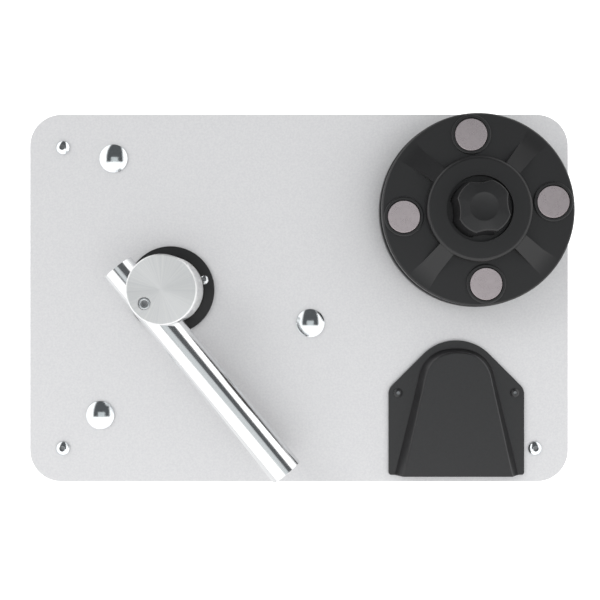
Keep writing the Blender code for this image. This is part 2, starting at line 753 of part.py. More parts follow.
def make_case():
    outline, radii = case_outline()
    bores = [ring(M4_RADIUS + GAP, TINY, (sx * POST_X, sy * POST_Y)) for sx, sy in CORNERS]
    body = slab("case_body", rounded(outline, radii), CASE_BOTTOM, CASE_TOP, bores)
    inside = CASE_Y - POST_SIDE
    outside = CASE_Y + OVERRUN
    window = slab("switch_window", switch_window(), inside, outside)
    window.matrix_world = FRONT
    slots = [slab("slot", slot, inside, CASE_X + OVERRUN) for slot in vent_slots(0)]
    vents = merge("side_vents", slots)
    vents.matrix_world = RIGHT_SIDE
    drain = rod("drain_hole", DRAIN_RADIUS + GAP, CASE_X - CASE_WALL - OVERRUN, CASE_X + OVERRUN)
    drain.matrix_world = at(0, HUB.y, DRAIN_Z) @ lying(math.pi)
    stud = rod("stud_hole", HOLDER_STUD_RADIUS + GAP, CASE_X - CASE_WALL - OVERRUN, CASE_X + OVERRUN)
    stud.matrix_world = at(0, HUB.y, holder_height()) @ lying(math.pi)
    cut(body, window, vents, drain, stud)
    paint(body, "CFCFD1", 0.5, 0.6)

    reach = POST_SIDE - GROOVE_DEPTH + GAP
    middle = (CASE_BOTTOM + CASE_TOP) / 2
    rear = rectangle(2 * (CASE_X - reach), CASE_HEIGHT, 0, (0, middle))
    panel = slab("rear_panel", rear, PANEL_FACE_Y - PANEL_THICKNESS, PANEL_FACE_Y, rear_cutouts())
    panel.matrix_world = BACK
    paint(panel, "2A2A2B", 0.5, 0.3)


def case_outline():
    """The case body from above: a U of front and sides with square posts, open at the rear."""
    x = CASE_X
    y = CASE_Y
    post_x = x - POST_SIDE
    post_y = y - POST_SIDE
    wall_x = x - CASE_WALL
    wall_y = y - CASE_WALL
    groove_x = post_x + GROOVE_DEPTH
    near = PANEL_FACE_Y + GAP
    far = PANEL_FACE_Y - PANEL_THICKNESS - GAP
    rear = [(x, y), (post_x, y), (post_x, near), (groove_x, near), (groove_x, far), (post_x, far)]
    inner = [(post_x, post_y), (wall_x, post_y), (wall_x, -post_y), (post_x, -post_y), (post_x, -wall_y)]
    right = [*rear, *inner]
    left = [(-px, py) for px, py in reversed(right)]
    outline = [*right, *left, (-x, -y), (x, -y)]
    radii = [0] * len(outline)
    for index in (0, len(right) + len(left) - 1, len(outline) - 2, len(outline) - 1):
        radii[index] = POST_CORNER
    return outline, radii


def vent_slots(middle):
    first = middle - VENT_PITCH * (VENT_COUNT - 1) / 2
    places = [first + VENT_PITCH * index for index in range(VENT_COUNT)]
    return [rectangle(VENT_WIDTH, VENT_LENGTH, VENT_WIDTH / 2 - MERGE, (x, VENT_Z)) for x in places]


def switch_places():
    middle = RIGHT - SWITCH_FROM_RIGHT
    return [middle - SWITCH_PITCH / 2, middle + SWITCH_PITCH / 2]


def switch_window():
    """The one window in the front for both switches."""
    middle = RIGHT - SWITCH_FROM_RIGHT
    width = SWITCH_PITCH + SWITCH_WIDTH + 2 * GAP
    return rectangle(width, SWITCH_HEIGHT + 2 * GAP, 0, (middle, SWITCH_Z))


def inlet_x():
    return RIGHT - INLET_FROM_RIGHT


def rear_cutouts():
    inlet = rectangle(INLET_WIDTH + 2 * GAP, INLET_HEIGHT + 2 * GAP, 0, (-inlet_x(), INLET_Z))
    return [inlet, *vent_slots(CASE_X - POST_SIDE - VENT_INSET)]


def holder_height():
    return LEVEL_TUBE_TOP - HOLDER_FROM_TOP


def make_base():
    holes = [ring(M4_RADIUS + GAP, TINY, (sx * POST_X, sy * POST_Y)) for sx, sy in CORNERS]
    holes += [ring(M6_RADIUS + GAP, TINY, place) for place in bolt_places()]
    outline = rectangle(2 * CASE_X, 2 * CASE_Y, POST_CORNER)
    base = slab("base_plate", outline, BASE_BOTTOM, BASE_TOP, holes)
    hole = ring(M6_RADIUS + GAP, TINY)
    nut_bottom = (BASE_BOTTOM + BASE_TOP) / 2
    nut = slab("nut", ring(M6_NUT_RADIUS, HEXAGON), nut_bottom, BASE_TOP + M6_NUT_HEIGHT, [hole])
    fuse(base, copies("weld_nuts", nut, [at(*place) for place in bolt_places()]))
    paint(base, "9FA1A3", 0.4, 0.9)

    for name, side in (("foot_front", -1), ("foot_rear", 1)):
        outline = rectangle(2 * CASE_X, FOOT_WIDTH, FOOT_WIDTH / 2 - MERGE)
        foot = slab(name, outline, 0, FOOT_HEIGHT)
        stud_top = FOOT_HEIGHT + FOOT_STUD_LENGTH
        stud = rod("stud", M4_RADIUS, FOOT_HEIGHT / 2, stud_top, segments=TINY)
        studs = copies(name + "_studs", stud, [at(-POST_X, 0), at(POST_X, 0)])
        fuse(foot, studs)
        for obj in (foot, studs):
            obj.location.y = side * POST_Y
        rubber(foot)

    places = [at(sx * POST_X, sy * POST_Y, PLATE_TOP + GAP) for sx, sy in CORNERS]
    screws = repeat("plate_screw", m4_screw("plate_screw", POST_SCREW_LENGTH), places)
    for obj in screws:
        steel(obj)


def make_column():
    holes = [ring(COLUMN_RADIUS + GAP, ROUND)]
    holes += ring_holes(FLANGE_SCREW_CIRCLE, FLANGE_SCREW_COUNT, M3_RADIUS + GAP, FLANGE_SCREW_ANGLE)
    flange = slab("column_flange", ring(FLANGE_RADIUS, FINE), PLATE_TOP + GAP, FLANGE_TOP, holes)
    flange.location = (*HUB, 0)
    black_metal(flange)
    screw = m3_screw("flange_screw", FLANGE_SCREW_LENGTH)
    places = [at(x, y, FLANGE_TOP + GAP) for x, y in flange_screw_places()]
    for obj in repeat("flange_screw", screw, places):
        steel(obj)

    profile = [
        (COLUMN_RADIUS, COLUMN_TOP),
        (COLUMN_RADIUS, PLATE_BOTTOM - GAP),
        (COLUMN_FOOT_RADIUS, PLATE_BOTTOM - GAP),
        (COLUMN_FOOT_RADIUS, LID_TOP + GAP),
        (COLUMN_BORE, LID_TOP + GAP),
        (COLUMN_BORE, COLUMN_TOP),
    ]
    column = turned("arm_column", profile)
    column.location = (*HUB, 0)
    steel(column)


def ring_holes(circle, count, radius, start):
    return [ring(radius, TINY, place) for place in ring(circle, count, (0, 0), start)]


def make_arm():
    swivel = pivot("arm_swivel_axis", *HUB, 0, TUBE_HEADING)
    inner = COLUMN_RADIUS + GAP
    outer = inner + BUSH_WALL
    profile = [
        (outer, BUSH_TOP),
        (outer, COLLAR_TOP),
        (BUSH_COLLAR_RADIUS, COLLAR_TOP),
        (BUSH_COLLAR_RADIUS, COLLAR_BOTTOM),
        (inner, COLLAR_BOTTOM),
        (inner, BUSH_TOP),
    ]
    bush = turned("swivel_bush", profile)
    bush.parent = swivel
    paint(bush, "D8D2C0", 0.5)

    lift = pivot("arm_lift_axis", 0, 0, 0, 0, swivel)
    make_hub(lift, outer + GAP)
    make_tube(lift)


def tube_cutter(name, radius):
    """A rod along the tube's axis, past both its ends."""
    back = -TUBE_BEHIND - OVERRUN
    cutter = rod(name, radius, back, TUBE_AHEAD + OVERRUN, segments=ROUND)
    cutter.matrix_world = at(0, -TUBE_OFFSET, TUBE_Z) @ lying(0)
    return cutter


def make_hub(lift, bore):
    profile = [
        (0, HUB_TOP),
        (HUB_RADIUS - HUB_CHAMFER, HUB_TOP),
        (HUB_RADIUS, HUB_TOP - HUB_CHAMFER),
        (HUB_RADIUS, HUB_BOTTOM),
        (bore, HUB_BOTTOM),
        (bore, HUB_CAVITY_TOP),
        (0, HUB_CAVITY_TOP),
    ]
    hub = turned("arm_hub", profile, FINE)
    tube_seat = tube_cutter("tube_seat", TUBE_RADIUS + GAP)
    head = HUB_SCREW_HEAD_RADIUS + GAP
    place = (0, -TUBE_OFFSET)
    head_seat = rod("head_seat", head, HUB_TOP - HUB_SCREW_HEAD_HEIGHT - GAP, HUB_TOP + OVERRUN, place)
    screw_hole = rod("screw_hole", M3_RADIUS + GAP, TUBE_Z, HUB_TOP + OVERRUN, place, TINY)
    port = air_port("hub_port", HUB_CAVITY_TOP - OVERRUN)
    cut(hub, tube_seat, head_seat, screw_hole, port)
    for obj in (hub, tube_seat, head_seat, screw_hole, port):
        obj.parent = lift
    aluminium(hub)

    end = TUBE_Z + TUBE_RADIUS - TUBE_WALL
    screw_profile = [
        (0, HUB_TOP),
        (HUB_SCREW_HEAD_RADIUS, HUB_TOP),
        (HUB_SCREW_HEAD_RADIUS, HUB_TOP - HUB_SCREW_HEAD_HEIGHT),
        (M3_RADIUS, HUB_TOP - HUB_SCREW_HEAD_HEIGHT),
        (M3_RADIUS, end),
        (0, end),
    ]
    screw = turned("hub_screw", screw_profile, SMALL)
    floor = HUB_TOP - M3_SOCKET_DEPTH
    socket = rod("hub_screw_socket", M3_SOCKET_RADIUS, floor, HUB_TOP + OVERRUN, segments=HEXAGON)
    cut(screw, socket)
    for obj in (screw, socket):
        obj.parent = lift
        obj.location.y = -TUBE_OFFSET
    steel(screw)


def air_port(name, bottom):
    """The way for the air from the hub's cavity up into the tube."""
    return rod(name, PORT_RADIUS, bottom, TUBE_Z, (0, -PORT_OFFSET), TINY)


def make_tube(lift):
    bore = TUBE_RADIUS - TUBE_WALL
    profile = [
        (TUBE_RADIUS, TUBE_AHEAD),
        (TUBE_RADIUS, -TUBE_BEHIND),
        (bore, -TUBE_BEHIND),
        (bore, TUBE_AHEAD),
    ]
    tube = turned("arm_tube", profile)
    tube.matrix_world = at(0, -TUBE_OFFSET, TUBE_Z) @ lying(0)
    slot_end = TUBE_AHEAD - SLOT_FROM_END
    low = TUBE_Z - TUBE_RADIUS - OVERRUN
    half = SLOT_WIDTH / 2
    slot = block("slot", (SLOT_START, -TUBE_OFFSET - half, low), (slot_end, -TUBE_OFFSET + half, TUBE_Z))
    port = air_port("tube_port", low)
    screw_hole = rod("tube_screw_hole", M3_RADIUS + GAP, TUBE_Z, HUB_TOP, (0, -TUBE_OFFSET), TINY)
    cut(tube, slot, port, screw_hole)
    for obj in (tube, slot, port, screw_hole):
        obj.parent = lift
    aluminium(tube)

    plug = rod("plug", bore - GAP, -TUBE_PLUG_THICKNESS, 0, segments=ROUND)
    ends = [TUBE_AHEAD - TUBE_PLUG_RECESS, TUBE_PLUG_RECESS + TUBE_PLUG_THICKNESS - TUBE_BEHIND]
    for obj in repeat("tube_plug", plug, [at(x, -TUBE_OFFSET, TUBE_Z) @ lying(0) for x in ends]):
        obj.parent = lift
        aluminium(obj)

    bottom = TUBE_Z - TUBE_RADIUS - PAD_DEPTH
    outer = half + PAD_WIDTH
    start = SLOT_START - PAD_WIDTH
    end = slot_end + PAD_WIDTH / 2
    pad = block("suction_pad", (start, -outer, bottom), (end, outer, TUBE_Z))
    seat = rod("pad_seat", TUBE_RADIUS + GAP, start - OVERRUN, end + OVERRUN, segments=ROUND)
    seat.matrix_world = at(0, 0, TUBE_Z) @ lying(0)
    opening = block("pad_slot", (SLOT_START, -half, bottom - OVERRUN), (slot_end, half, TUBE_Z))
    cut(pad, seat, opening)
    for obj in (pad, seat, opening):
        obj.location.y = -TUBE_OFFSET
        obj.parent = lift
    paint(pad, "2B2B33", 0.95)


def merge(name, sources):
    """One object that holds several separate solids."""
    bm = bmesh.new()
    for source in sources:
        mesh = evaluated_mesh(source)
        mesh.transform(source.matrix_world)
        bm.from_mesh(mesh)
    for source in sources:
        tools = [modifier.object for modifier in source.modifiers if modifier.type == "BOOLEAN"]
        for obj in (source, *tools):
            bpy.data.objects.remove(obj)
    return mesh_object(name, bm)


def make_platter():
    axis = pivot("platter_axis", *SPINDLE)
    hole = SHAFT_RADIUS + GAP
    disc_bottom = PLATTER_TOP - PLATTER_THICKNESS
    profile = [
        (PLATTER_RADIUS, PLATTER_TOP),
        (PLATTER_RADIUS, disc_bottom),
        (PLATTER_HUB_RADIUS, disc_bottom),
        (PLATTER_HUB_RADIUS, PLATTER_BOTTOM),
        (hole, PLATTER_BOTTOM),
        (hole, PLATTER_TOP),
    ]
    platter = turned("platter", profile, FINE)
    pin_hole = PIN_RADIUS + GAP
    mat_profile = [
        (MAT_RADIUS, MAT_TOP),
        (MAT_RADIUS, PLATTER_TOP + GAP),
        (pin_hole, PLATTER_TOP + GAP),
        (pin_hole, MAT_TOP),
    ]
    mat = turned("platter_mat", mat_profile, FINE)
    spindle_profile = [
        (0, PIN_TOP),
        (PIN_RADIUS - PIN_ROUNDING, PIN_TOP),
        (PIN_RADIUS, PIN_TOP - PIN_ROUNDING),
        (PIN_RADIUS, PLATTER_TOP),
        (SHAFT_RADIUS, PLATTER_TOP),
        (SHAFT_RADIUS, SHAFT_BOTTOM),
        (0, SHAFT_BOTTOM),
    ]
    spindle = turned("spindle", spindle_profile, SMALL)
    gear = slab("drive_gear", gear_outline(GEAR_TEETH), GEAR_BOTTOM, GEAR_TOP, [ring(hole, SMALL)])
    for obj in (platter, mat, spindle, gear):
        obj.parent = axis
    black_metal(platter)
    rubber(mat)
    steel(spindle)
    paint(gear, "E6E2D6", 0.5)
    make_clamp(axis)
    make_drive()


def involute(angle):
    return math.tan(angle) - angle


def gear_outline(teeth, start=0.0):
    """An involute gear's outline, with a tooth's middle at the start angle."""
    pitch = GEAR_MODULE * teeth / 2
    base = pitch * math.cos(PRESSURE_ANGLE)
    tip = pitch + GEAR_MODULE * ADDENDUM_SHARE
    root = pitch - GEAR_MODULE * DEDENDUM_SHARE
    foot = max(base, root)
    half_tooth = math.pi / (2 * teeth) - GEAR_BACKLASH / (4 * pitch)
    flank = []
    for step in range(TOOTH_STEPS + 1):
        radius = foot + (tip - foot) * step / TOOTH_STEPS
        pressure = math.acos(base / radius)
        flank.append((radius, half_tooth + involute(PRESSURE_ANGLE) - involute(pressure)))
    outline = []
    for tooth in range(teeth):
        middle = start + 2 * math.pi * tooth / teeth
        points = [(root, -flank[0][1])] + [(radius, -angle) for radius, angle in flank]
        points += [(radius, angle) for radius, angle in reversed(flank)] + [(root, flank[0][1])]
        if root >= base:
            points = points[1:-1]
        outline += [(r * math.cos(middle + a), r * math.sin(middle + a)) for r, a in points]
    return outline


def make_drive():
    bearing_hole = SHAFT_RADIUS + GAP
    bearing_outer = bearing_hole + BEARING_WALL
    profile = [
        (BEARING_FLANGE_RADIUS, BEARING_TOP),
        (BEARING_FLANGE_RADIUS, PLATE_TOP + GAP),
        (bearing_outer, PLATE_TOP + GAP),
        (bearing_outer, BEARING_BOTTOM),
        (bearing_hole, BEARING_BOTTOM),
        (bearing_hole, BEARING_TOP),
    ]
    bearing = turned("spindle_bearing", profile)
    bearing.location = (*SPINDLE, 0)
    paint(bearing, "B08A4E", 0.35, 1.0)

    wall = SPINDLE.x + GEAR_RADIUS + GEAR_MODULE + BRACKET_SIDE
    outer = wall + BRACKET_THICKNESS
    lower_left = MOTOR.x - BRACKET_REACH
    upper_left = SPINDLE.x - BRACKET_ARM
    outline = [
        (lower_left, BRACKET_BOTTOM),
        (outer, BRACKET_BOTTOM),
        (outer, UPPER_ARM_TOP),
        (upper_left, UPPER_ARM_TOP),
        (upper_left, UPPER_ARM_BOTTOM),
        (wall, UPPER_ARM_BOTTOM),
        (wall, BRACKET_TOP),
        (lower_left, BRACKET_TOP),
    ]
    side = -SPINDLE.y
    bracket = slab("motor_bracket", outline, side - BRACKET_WIDTH / 2, side + BRACKET_WIDTH / 2)
    bracket.matrix_world = FRONT
    below = BRACKET_BOTTOM - OVERRUN
    shaft_way = rod("shaft_way", bearing_hole, below, BRACKET_TOP + OVERRUN, SPINDLE)
    way_bottom = UPPER_ARM_BOTTOM - OVERRUN
    bearing_way = rod("bearing_way", bearing_outer + GAP, way_bottom, PLATE_BOTTOM, SPINDLE, ROUND)
    boss_way = rod("boss_way", GEARBOX_BOSS_RADIUS + GAP, below, BRACKET_TOP + OVERRUN, MOTOR)
    cut(bracket, shaft_way, bearing_way, boss_way)
    paint(bracket, "B5B7B9", 0.4, 1.0)

    nut_top = UPPER_ARM_BOTTOM - GAP
    nut_hole = ring(bearing_outer + GAP, ROUND)
    nut = slab("bearing_nut", ring(BEARING_NUT_RADIUS, HEXAGON), BEARING_NUT_BOTTOM, nut_top, [nut_hole])
    nut.location = (*SPINDLE, 0)
    steel(nut)

    shaft_hole = MOTOR_SHAFT_RADIUS + GAP
    gearbox_top = BRACKET_BOTTOM - GAP
    gearbox_bottom = gearbox_top - GEARBOX_HEIGHT
    hole_end = gearbox_top - MOTOR_SHAFT_DEPTH - GAP
    motor_profile = [
        (0, hole_end),
        (shaft_hole, hole_end),
        (shaft_hole, BRACKET_TOP),
        (GEARBOX_BOSS_RADIUS, BRACKET_TOP),
        (GEARBOX_BOSS_RADIUS, gearbox_top),
        (GEARBOX_RADIUS, gearbox_top),
        (GEARBOX_RADIUS, gearbox_bottom),
        (MOTOR_RADIUS, gearbox_bottom),
        (MOTOR_RADIUS, gearbox_bottom - MOTOR_HEIGHT),
        (0, gearbox_bottom - MOTOR_HEIGHT),
    ]
    motor = turned("gear_motor", motor_profile)
    motor.location = (*MOTOR, 0)
    paint(motor, "A7A9AB", 0.35, 1.0)

    axis = pivot("pinion_axis", *MOTOR)
    half_pitch = math.pi / PINION_TEETH
    pinion = slab("motor_pinion", gear_outline(PINION_TEETH, half_pitch), GEAR_BOTTOM, GEAR_TOP)
    shaft = rod("pinion_shaft", MOTOR_SHAFT_RADIUS, hole_end + GAP, GEAR_BOTTOM + OVERRUN)
    fuse(pinion, shaft)
    for obj in (pinion, shaft):
        obj.parent = axis
    steel(pinion)


def make_clamp(platter_axis):
    axis = pivot("clamp_axis", 0, 0, 0, CLAMP_ANGLE, platter_axis)
    seal_outer = CLAMP_RADIUS - SEAL_INSET
    seal_inner = seal_outer - SEAL_WIDTH
    middle = seal_inner - GAP
    underside = CLAMP_BOTTOM - CLAMP_BOSS_DEPTH
    pin_hole = PIN_RADIUS + GAP
    profile = [
        (CLAMP_RADIUS - CLAMP_RIM_CHAMFER, CLAMP_TOP),
        (CLAMP_RADIUS, CLAMP_TOP - CLAMP_RIM_CHAMFER),
        (CLAMP_RADIUS, CLAMP_BOTTOM),
        (middle, CLAMP_BOTTOM),
        (middle, underside),
        (pin_hole, underside),
        (pin_hole, RECESS_FLOOR),
        (RECESS_RADIUS, RECESS_FLOOR),
        (RECESS_RADIUS, CLAMP_COLLAR_TOP),
        (COLLAR_RADIUS - COLLAR_CHAMFER, CLAMP_COLLAR_TOP),
        (COLLAR_RADIUS, CLAMP_COLLAR_TOP - COLLAR_CHAMFER),
        (COLLAR_RADIUS, CLAMP_TOP),
    ]
    disc = turned("clamp_disc", profile, FINE)
    pocket = MAGNET_RADIUS + GAP
    rim_top = CLAMP_TOP + MAGNET_RIM_HEIGHT
    magnet_top = rim_top - MAGNET_BELOW_RIM
    magnet_bottom = magnet_top - MAGNET_THICKNESS
    places = [at(x, y) for x, y in ring(MAGNET_CIRCLE, MAGNET_COUNT)]
    inside = CLAMP_TOP - CLAMP_THICKNESS / 2
    rim = rod("rim", pocket + MAGNET_RIM_WIDTH, inside, rim_top, segments=ROUND)
    hollow = rod("hollow", pocket, magnet_bottom - GAP, rim_top + OVERRUN, segments=ROUND)
    magnet = rod("magnet", MAGNET_RADIUS, magnet_bottom, magnet_top, segments=ROUND)
    rims = copies("magnet_rims", rim, places)
    hollows = copies("magnet_hollows", hollow, places)
    magnets = repeat("clamp_magnet", magnet, places)
    ramps = make_ramps(inside)
    fuse(disc, rims, ramps)
    cut(disc, hollows)

    seal_profile = [
        (seal_outer, CLAMP_BOTTOM - GAP),
        (seal_outer, SEAL_BOTTOM),
        (seal_inner, SEAL_BOTTOM),
        (seal_inner, CLAMP_BOTTOM - GAP),
    ]
    seal = turned("clamp_seal", seal_profile, FINE)
    knob = make_knob(axis)
    for obj in (disc, rims, hollows, *magnets, ramps, seal, knob):
        obj.parent = axis
    black_plastic(disc)
    black_plastic(knob)
    for obj in magnets:
        steel(obj)
    rubber(seal)


def make_ramps(bottom):
    """Four ramps from the collar down to the clamp's disc."""
    start = COLLAR_RADIUS - COLLAR_CHAMFER
    top = CLAMP_COLLAR_TOP - COLLAR_CHAMFER / 2
    slope = (top - CLAMP_TOP) / (RAMP_END_RADIUS - COLLAR_RADIUS)
    sections = [
        (start, RAMP_INNER_WIDTH, top),
        (COLLAR_RADIUS, RAMP_INNER_WIDTH, top),
        (RAMP_END_RADIUS + OVERRUN, RAMP_OUTER_WIDTH, CLAMP_TOP - slope * OVERRUN),
    ]
    loops = []
    for reach, width, height in sections:
        half = width / 2
        corners = [(-half, bottom), (half, bottom), (half, height), (-half, height)]
        loops.append([(reach, y, z) for y, z in corners])
    step = 2 * math.pi / MAGNET_COUNT
    turns = [turn(step * (index + 0.5)) for index in range(MAGNET_COUNT)]
    return copies("ramps", loft("ramp", loops), turns)


def knob_loop(radius, height):
    """The knob's outline at one height: a circle with hollows for the fingers."""
    hollow_centre = radius - KNOB_SCALLOP_DEPTH + KNOB_SCALLOP_RADIUS
    pitch = 2 * math.pi / KNOB_SCALLOPS
    points = []
    for step in range(FINE):
        angle = 2 * math.pi * step / FINE
        away = (angle + pitch / 2) % pitch - pitch / 2
        reach = radius
        across = KNOB_SCALLOP_RADIUS**2 - (hollow_centre * math.sin(away)) ** 2
        if across > 0:
            reach = min(reach, hollow_centre * math.cos(away) - math.sqrt(across))
        points.append((reach * math.cos(angle), reach * math.sin(angle), height))
    return points


def make_knob(axis):
    loops = [
        knob_loop(KNOB_RADIUS + KNOB_FLARE, KNOB_BOTTOM),
        knob_loop(KNOB_RADIUS, KNOB_TOP - KNOB_EDGE),
        knob_loop(KNOB_RADIUS - KNOB_EDGE, KNOB_TOP),
    ]
    knob = loft("clamp_knob", loops)
    floor = KNOB_TOP - KNOB_DISH_DEPTH
    dish = rod("knob_dish", KNOB_DISH_RADIUS, floor, KNOB_TOP + OVERRUN, segments=ROUND)
    dish.parent = axis
    return cut(knob, dish)


def make_tank():
    axis = pivot("tank_axis", *HUB)
    inner = TANK_RADIUS - TANK_WALL
    floor = TANK_BOTTOM + TANK_FLOOR
    profile = [
        (0, floor),
        (inner, floor),
        (inner, TANK_TOP),
        (TANK_RIM_RADIUS, TANK_TOP),
        (TANK_RIM_RADIUS, TANK_TOP - TANK_RIM_HEIGHT),
        (TANK_RADIUS, TANK_TOP - TANK_RIM_HEIGHT),
        (TANK_RADIUS, TANK_BOTTOM),
        (0, TANK_BOTTOM),
    ]
    tank = turned("tank_body", profile, FINE)
    seat = TANK_RADIUS - TANK_WALL / 2
    port_end = TANK_RADIUS + TANK_PORT_LENGTH
    port = rod("port", HOSE_RADIUS, seat, port_end, segments=ROUND)
    bore = HOSE_RADIUS - HOSE_WALL
    port_bore = rod("port_bore", bore, inner - OVERRUN, port_end + OVERRUN, segments=ROUND)
    for obj in (port, port_bore):
        obj.matrix_world = at(0, 0, TANK_TOP - TANK_PORT_DROP) @ lying(TANK_PORT_ANGLE)
    drain_end = HUB.x + CASE_X
    drain = rod("drain", DRAIN_RADIUS, seat, drain_end)
    drain_bore = rod("drain_bore", DRAIN_BORE, inner - OVERRUN, drain_end + OVERRUN)
    for obj in (drain, drain_bore):
        obj.matrix_world = at(0, 0, DRAIN_Z) @ lying(math.pi)
    fuse(tank, port, drain)
    cut(tank, port_bore, drain_bore)

    lid_profile = [
        (TANK_RIM_RADIUS, LID_TOP),
        (TANK_RIM_RADIUS, LID_BOTTOM),
        (COLUMN_BORE, LID_BOTTOM),
        (COLUMN_BORE, LID_TOP),
    ]
    lid = turned("tank_lid", lid_profile, FINE)
    gasket_profile = [
        (TANK_RIM_RADIUS, LID_BOTTOM - GAP),
        (TANK_RIM_RADIUS, GASKET_BOTTOM),
        (inner, GASKET_BOTTOM),
        (inner, LID_BOTTOM - GAP),
    ]
    gasket = turned("tank_gasket", gasket_profile, FINE)
    for obj in (tank, port, port_bore, drain, drain_bore, lid, gasket):
        obj.parent = axis
    paint(tank, "E4E7E6", 0.45)
    paint(lid, "D6D9D8", 0.45)
    rubber(gasket)
    make_tank_bolts()


def make_tank_bolts():
    dome = (M6_DOME_RADIUS**2 + M6_DOME_HEIGHT**2) / (2 * M6_DOME_HEIGHT)
    underside = PLATE_TOP + GAP
    dome_centre = underside + M6_DOME_HEIGHT - dome
    spread = math.asin(M6_DOME_RADIUS / dome)
    turns = [spread * step / CORNER_STEPS for step in range(CORNER_STEPS + 1)]
    profile = [(dome * math.sin(a), dome_centre + dome * math.cos(a)) for a in turns]
    profile += [(M6_RADIUS, underside), (M6_RADIUS, BASE_BOTTOM), (0, BASE_BOTTOM)]
    bolt = turned("bolt", profile, SMALL)
    for obj in repeat("tank_bolt", bolt, [at(*place) for place in bolt_places()]):
        steel(obj)


def make_level_tube():
    axis = pivot("level_tube_axis", -LEVEL_TUBE_REACH, HUB.y)
    profile = [
        (LEVEL_TUBE_RADIUS, LEVEL_TUBE_TOP),
        (LEVEL_TUBE_RADIUS, LEVEL_TUBE_BOTTOM),
        (LEVEL_TUBE_BORE, LEVEL_TUBE_BOTTOM),
        (LEVEL_TUBE_BORE, LEVEL_TUBE_TOP),
    ]
    tube = turned("level_tube", profile, SMALL)

    half = DRAIN_BLOCK_WIDTH / 2
    low = DRAIN_Z - DRAIN_BLOCK_RISE
    high = DRAIN_Z + DRAIN_BLOCK_RISE
    inward = LEVEL_TUBE_STANDOFF - GAP
    fitting = block("level_tube_holder", (-half, -half, low), (inward, half, high))
    strip_top = holder_height() + HOLDER_HEIGHT / 2
    strip = block("strip", (inward - HOLDER_THICKNESS, -half, DRAIN_Z), (inward, half, strip_top))
    holder_ring, stud = make_holder_ring(inward)
    spigot = rod("spigot", SPIGOT_RADIUS, DRAIN_Z, high + SPIGOT_LENGTH)
    down = rod("down_bore", SPIGOT_BORE, DRAIN_Z, high + SPIGOT_LENGTH + OVERRUN)
    across = rod("across_bore", DRAIN_BORE, 0, inward + OVERRUN)
    across.matrix_world = at(0, 0, DRAIN_Z) @ lying(0)
    tube_way = rod("tube_way", LEVEL_TUBE_RADIUS + GAP, high, LEVEL_TUBE_TOP)
    cut(strip, tube_way)
    fuse(fitting, strip, spigot, holder_ring, stud)
    cut(fitting, down, across)
    for obj in (tube, fitting, strip, tube_way, holder_ring, stud, spigot, down, across):
        obj.parent = axis
    paint(tube, "E9ECEC", 0.1)
    black_plastic(fitting)
    make_stopper(axis)


def make_holder_ring(inward):
    """An open ring that grips the tube, with a stud through the case's side."""
    inner = LEVEL_TUBE_RADIUS + GAP
    outer = inward - MERGE
    half_mouth = HOLDER_MOUTH / 2
    start = half_mouth - math.pi
    end = math.pi - half_mouth
    steps = 3 * CORNER_STEPS
    outline = arc((0, 0), outer, start, end, steps) + arc((0, 0), inner, end, start, steps)
    middle = holder_height()
    grip = slab("grip", outline, middle - HOLDER_HEIGHT / 2, middle + HOLDER_HEIGHT / 2)
    stud_end = LEVEL_TUBE_STANDOFF + CASE_WALL
    stud = rod("holder_stud", HOLDER_STUD_RADIUS, inner + HOLDER_THICKNESS / 2, stud_end, segments=TINY)
    stud.matrix_world = at(0, 0, middle) @ lying(0)
    return grip, stud


def make_stopper(level_axis):
    axis = pivot("stopper_axis", 0, 0, 0, 0, level_axis)
    bottom = LEVEL_TUBE_TOP + GAP
    stem = LEVEL_TUBE_BORE - GAP
    profile = [
        (0, bottom + STOPPER_HEAD_HEIGHT),
        (STOPPER_HEAD_RADIUS, bottom + STOPPER_HEAD_HEIGHT),
        (STOPPER_HEAD_RADIUS, bottom),
        (stem, bottom),
        (stem, bottom - SPIGOT_LENGTH),
        (0, bottom - SPIGOT_LENGTH),
    ]
    stopper = turned("level_stopper", profile, SMALL)
    stopper.parent = axis
    rubber(stopper)


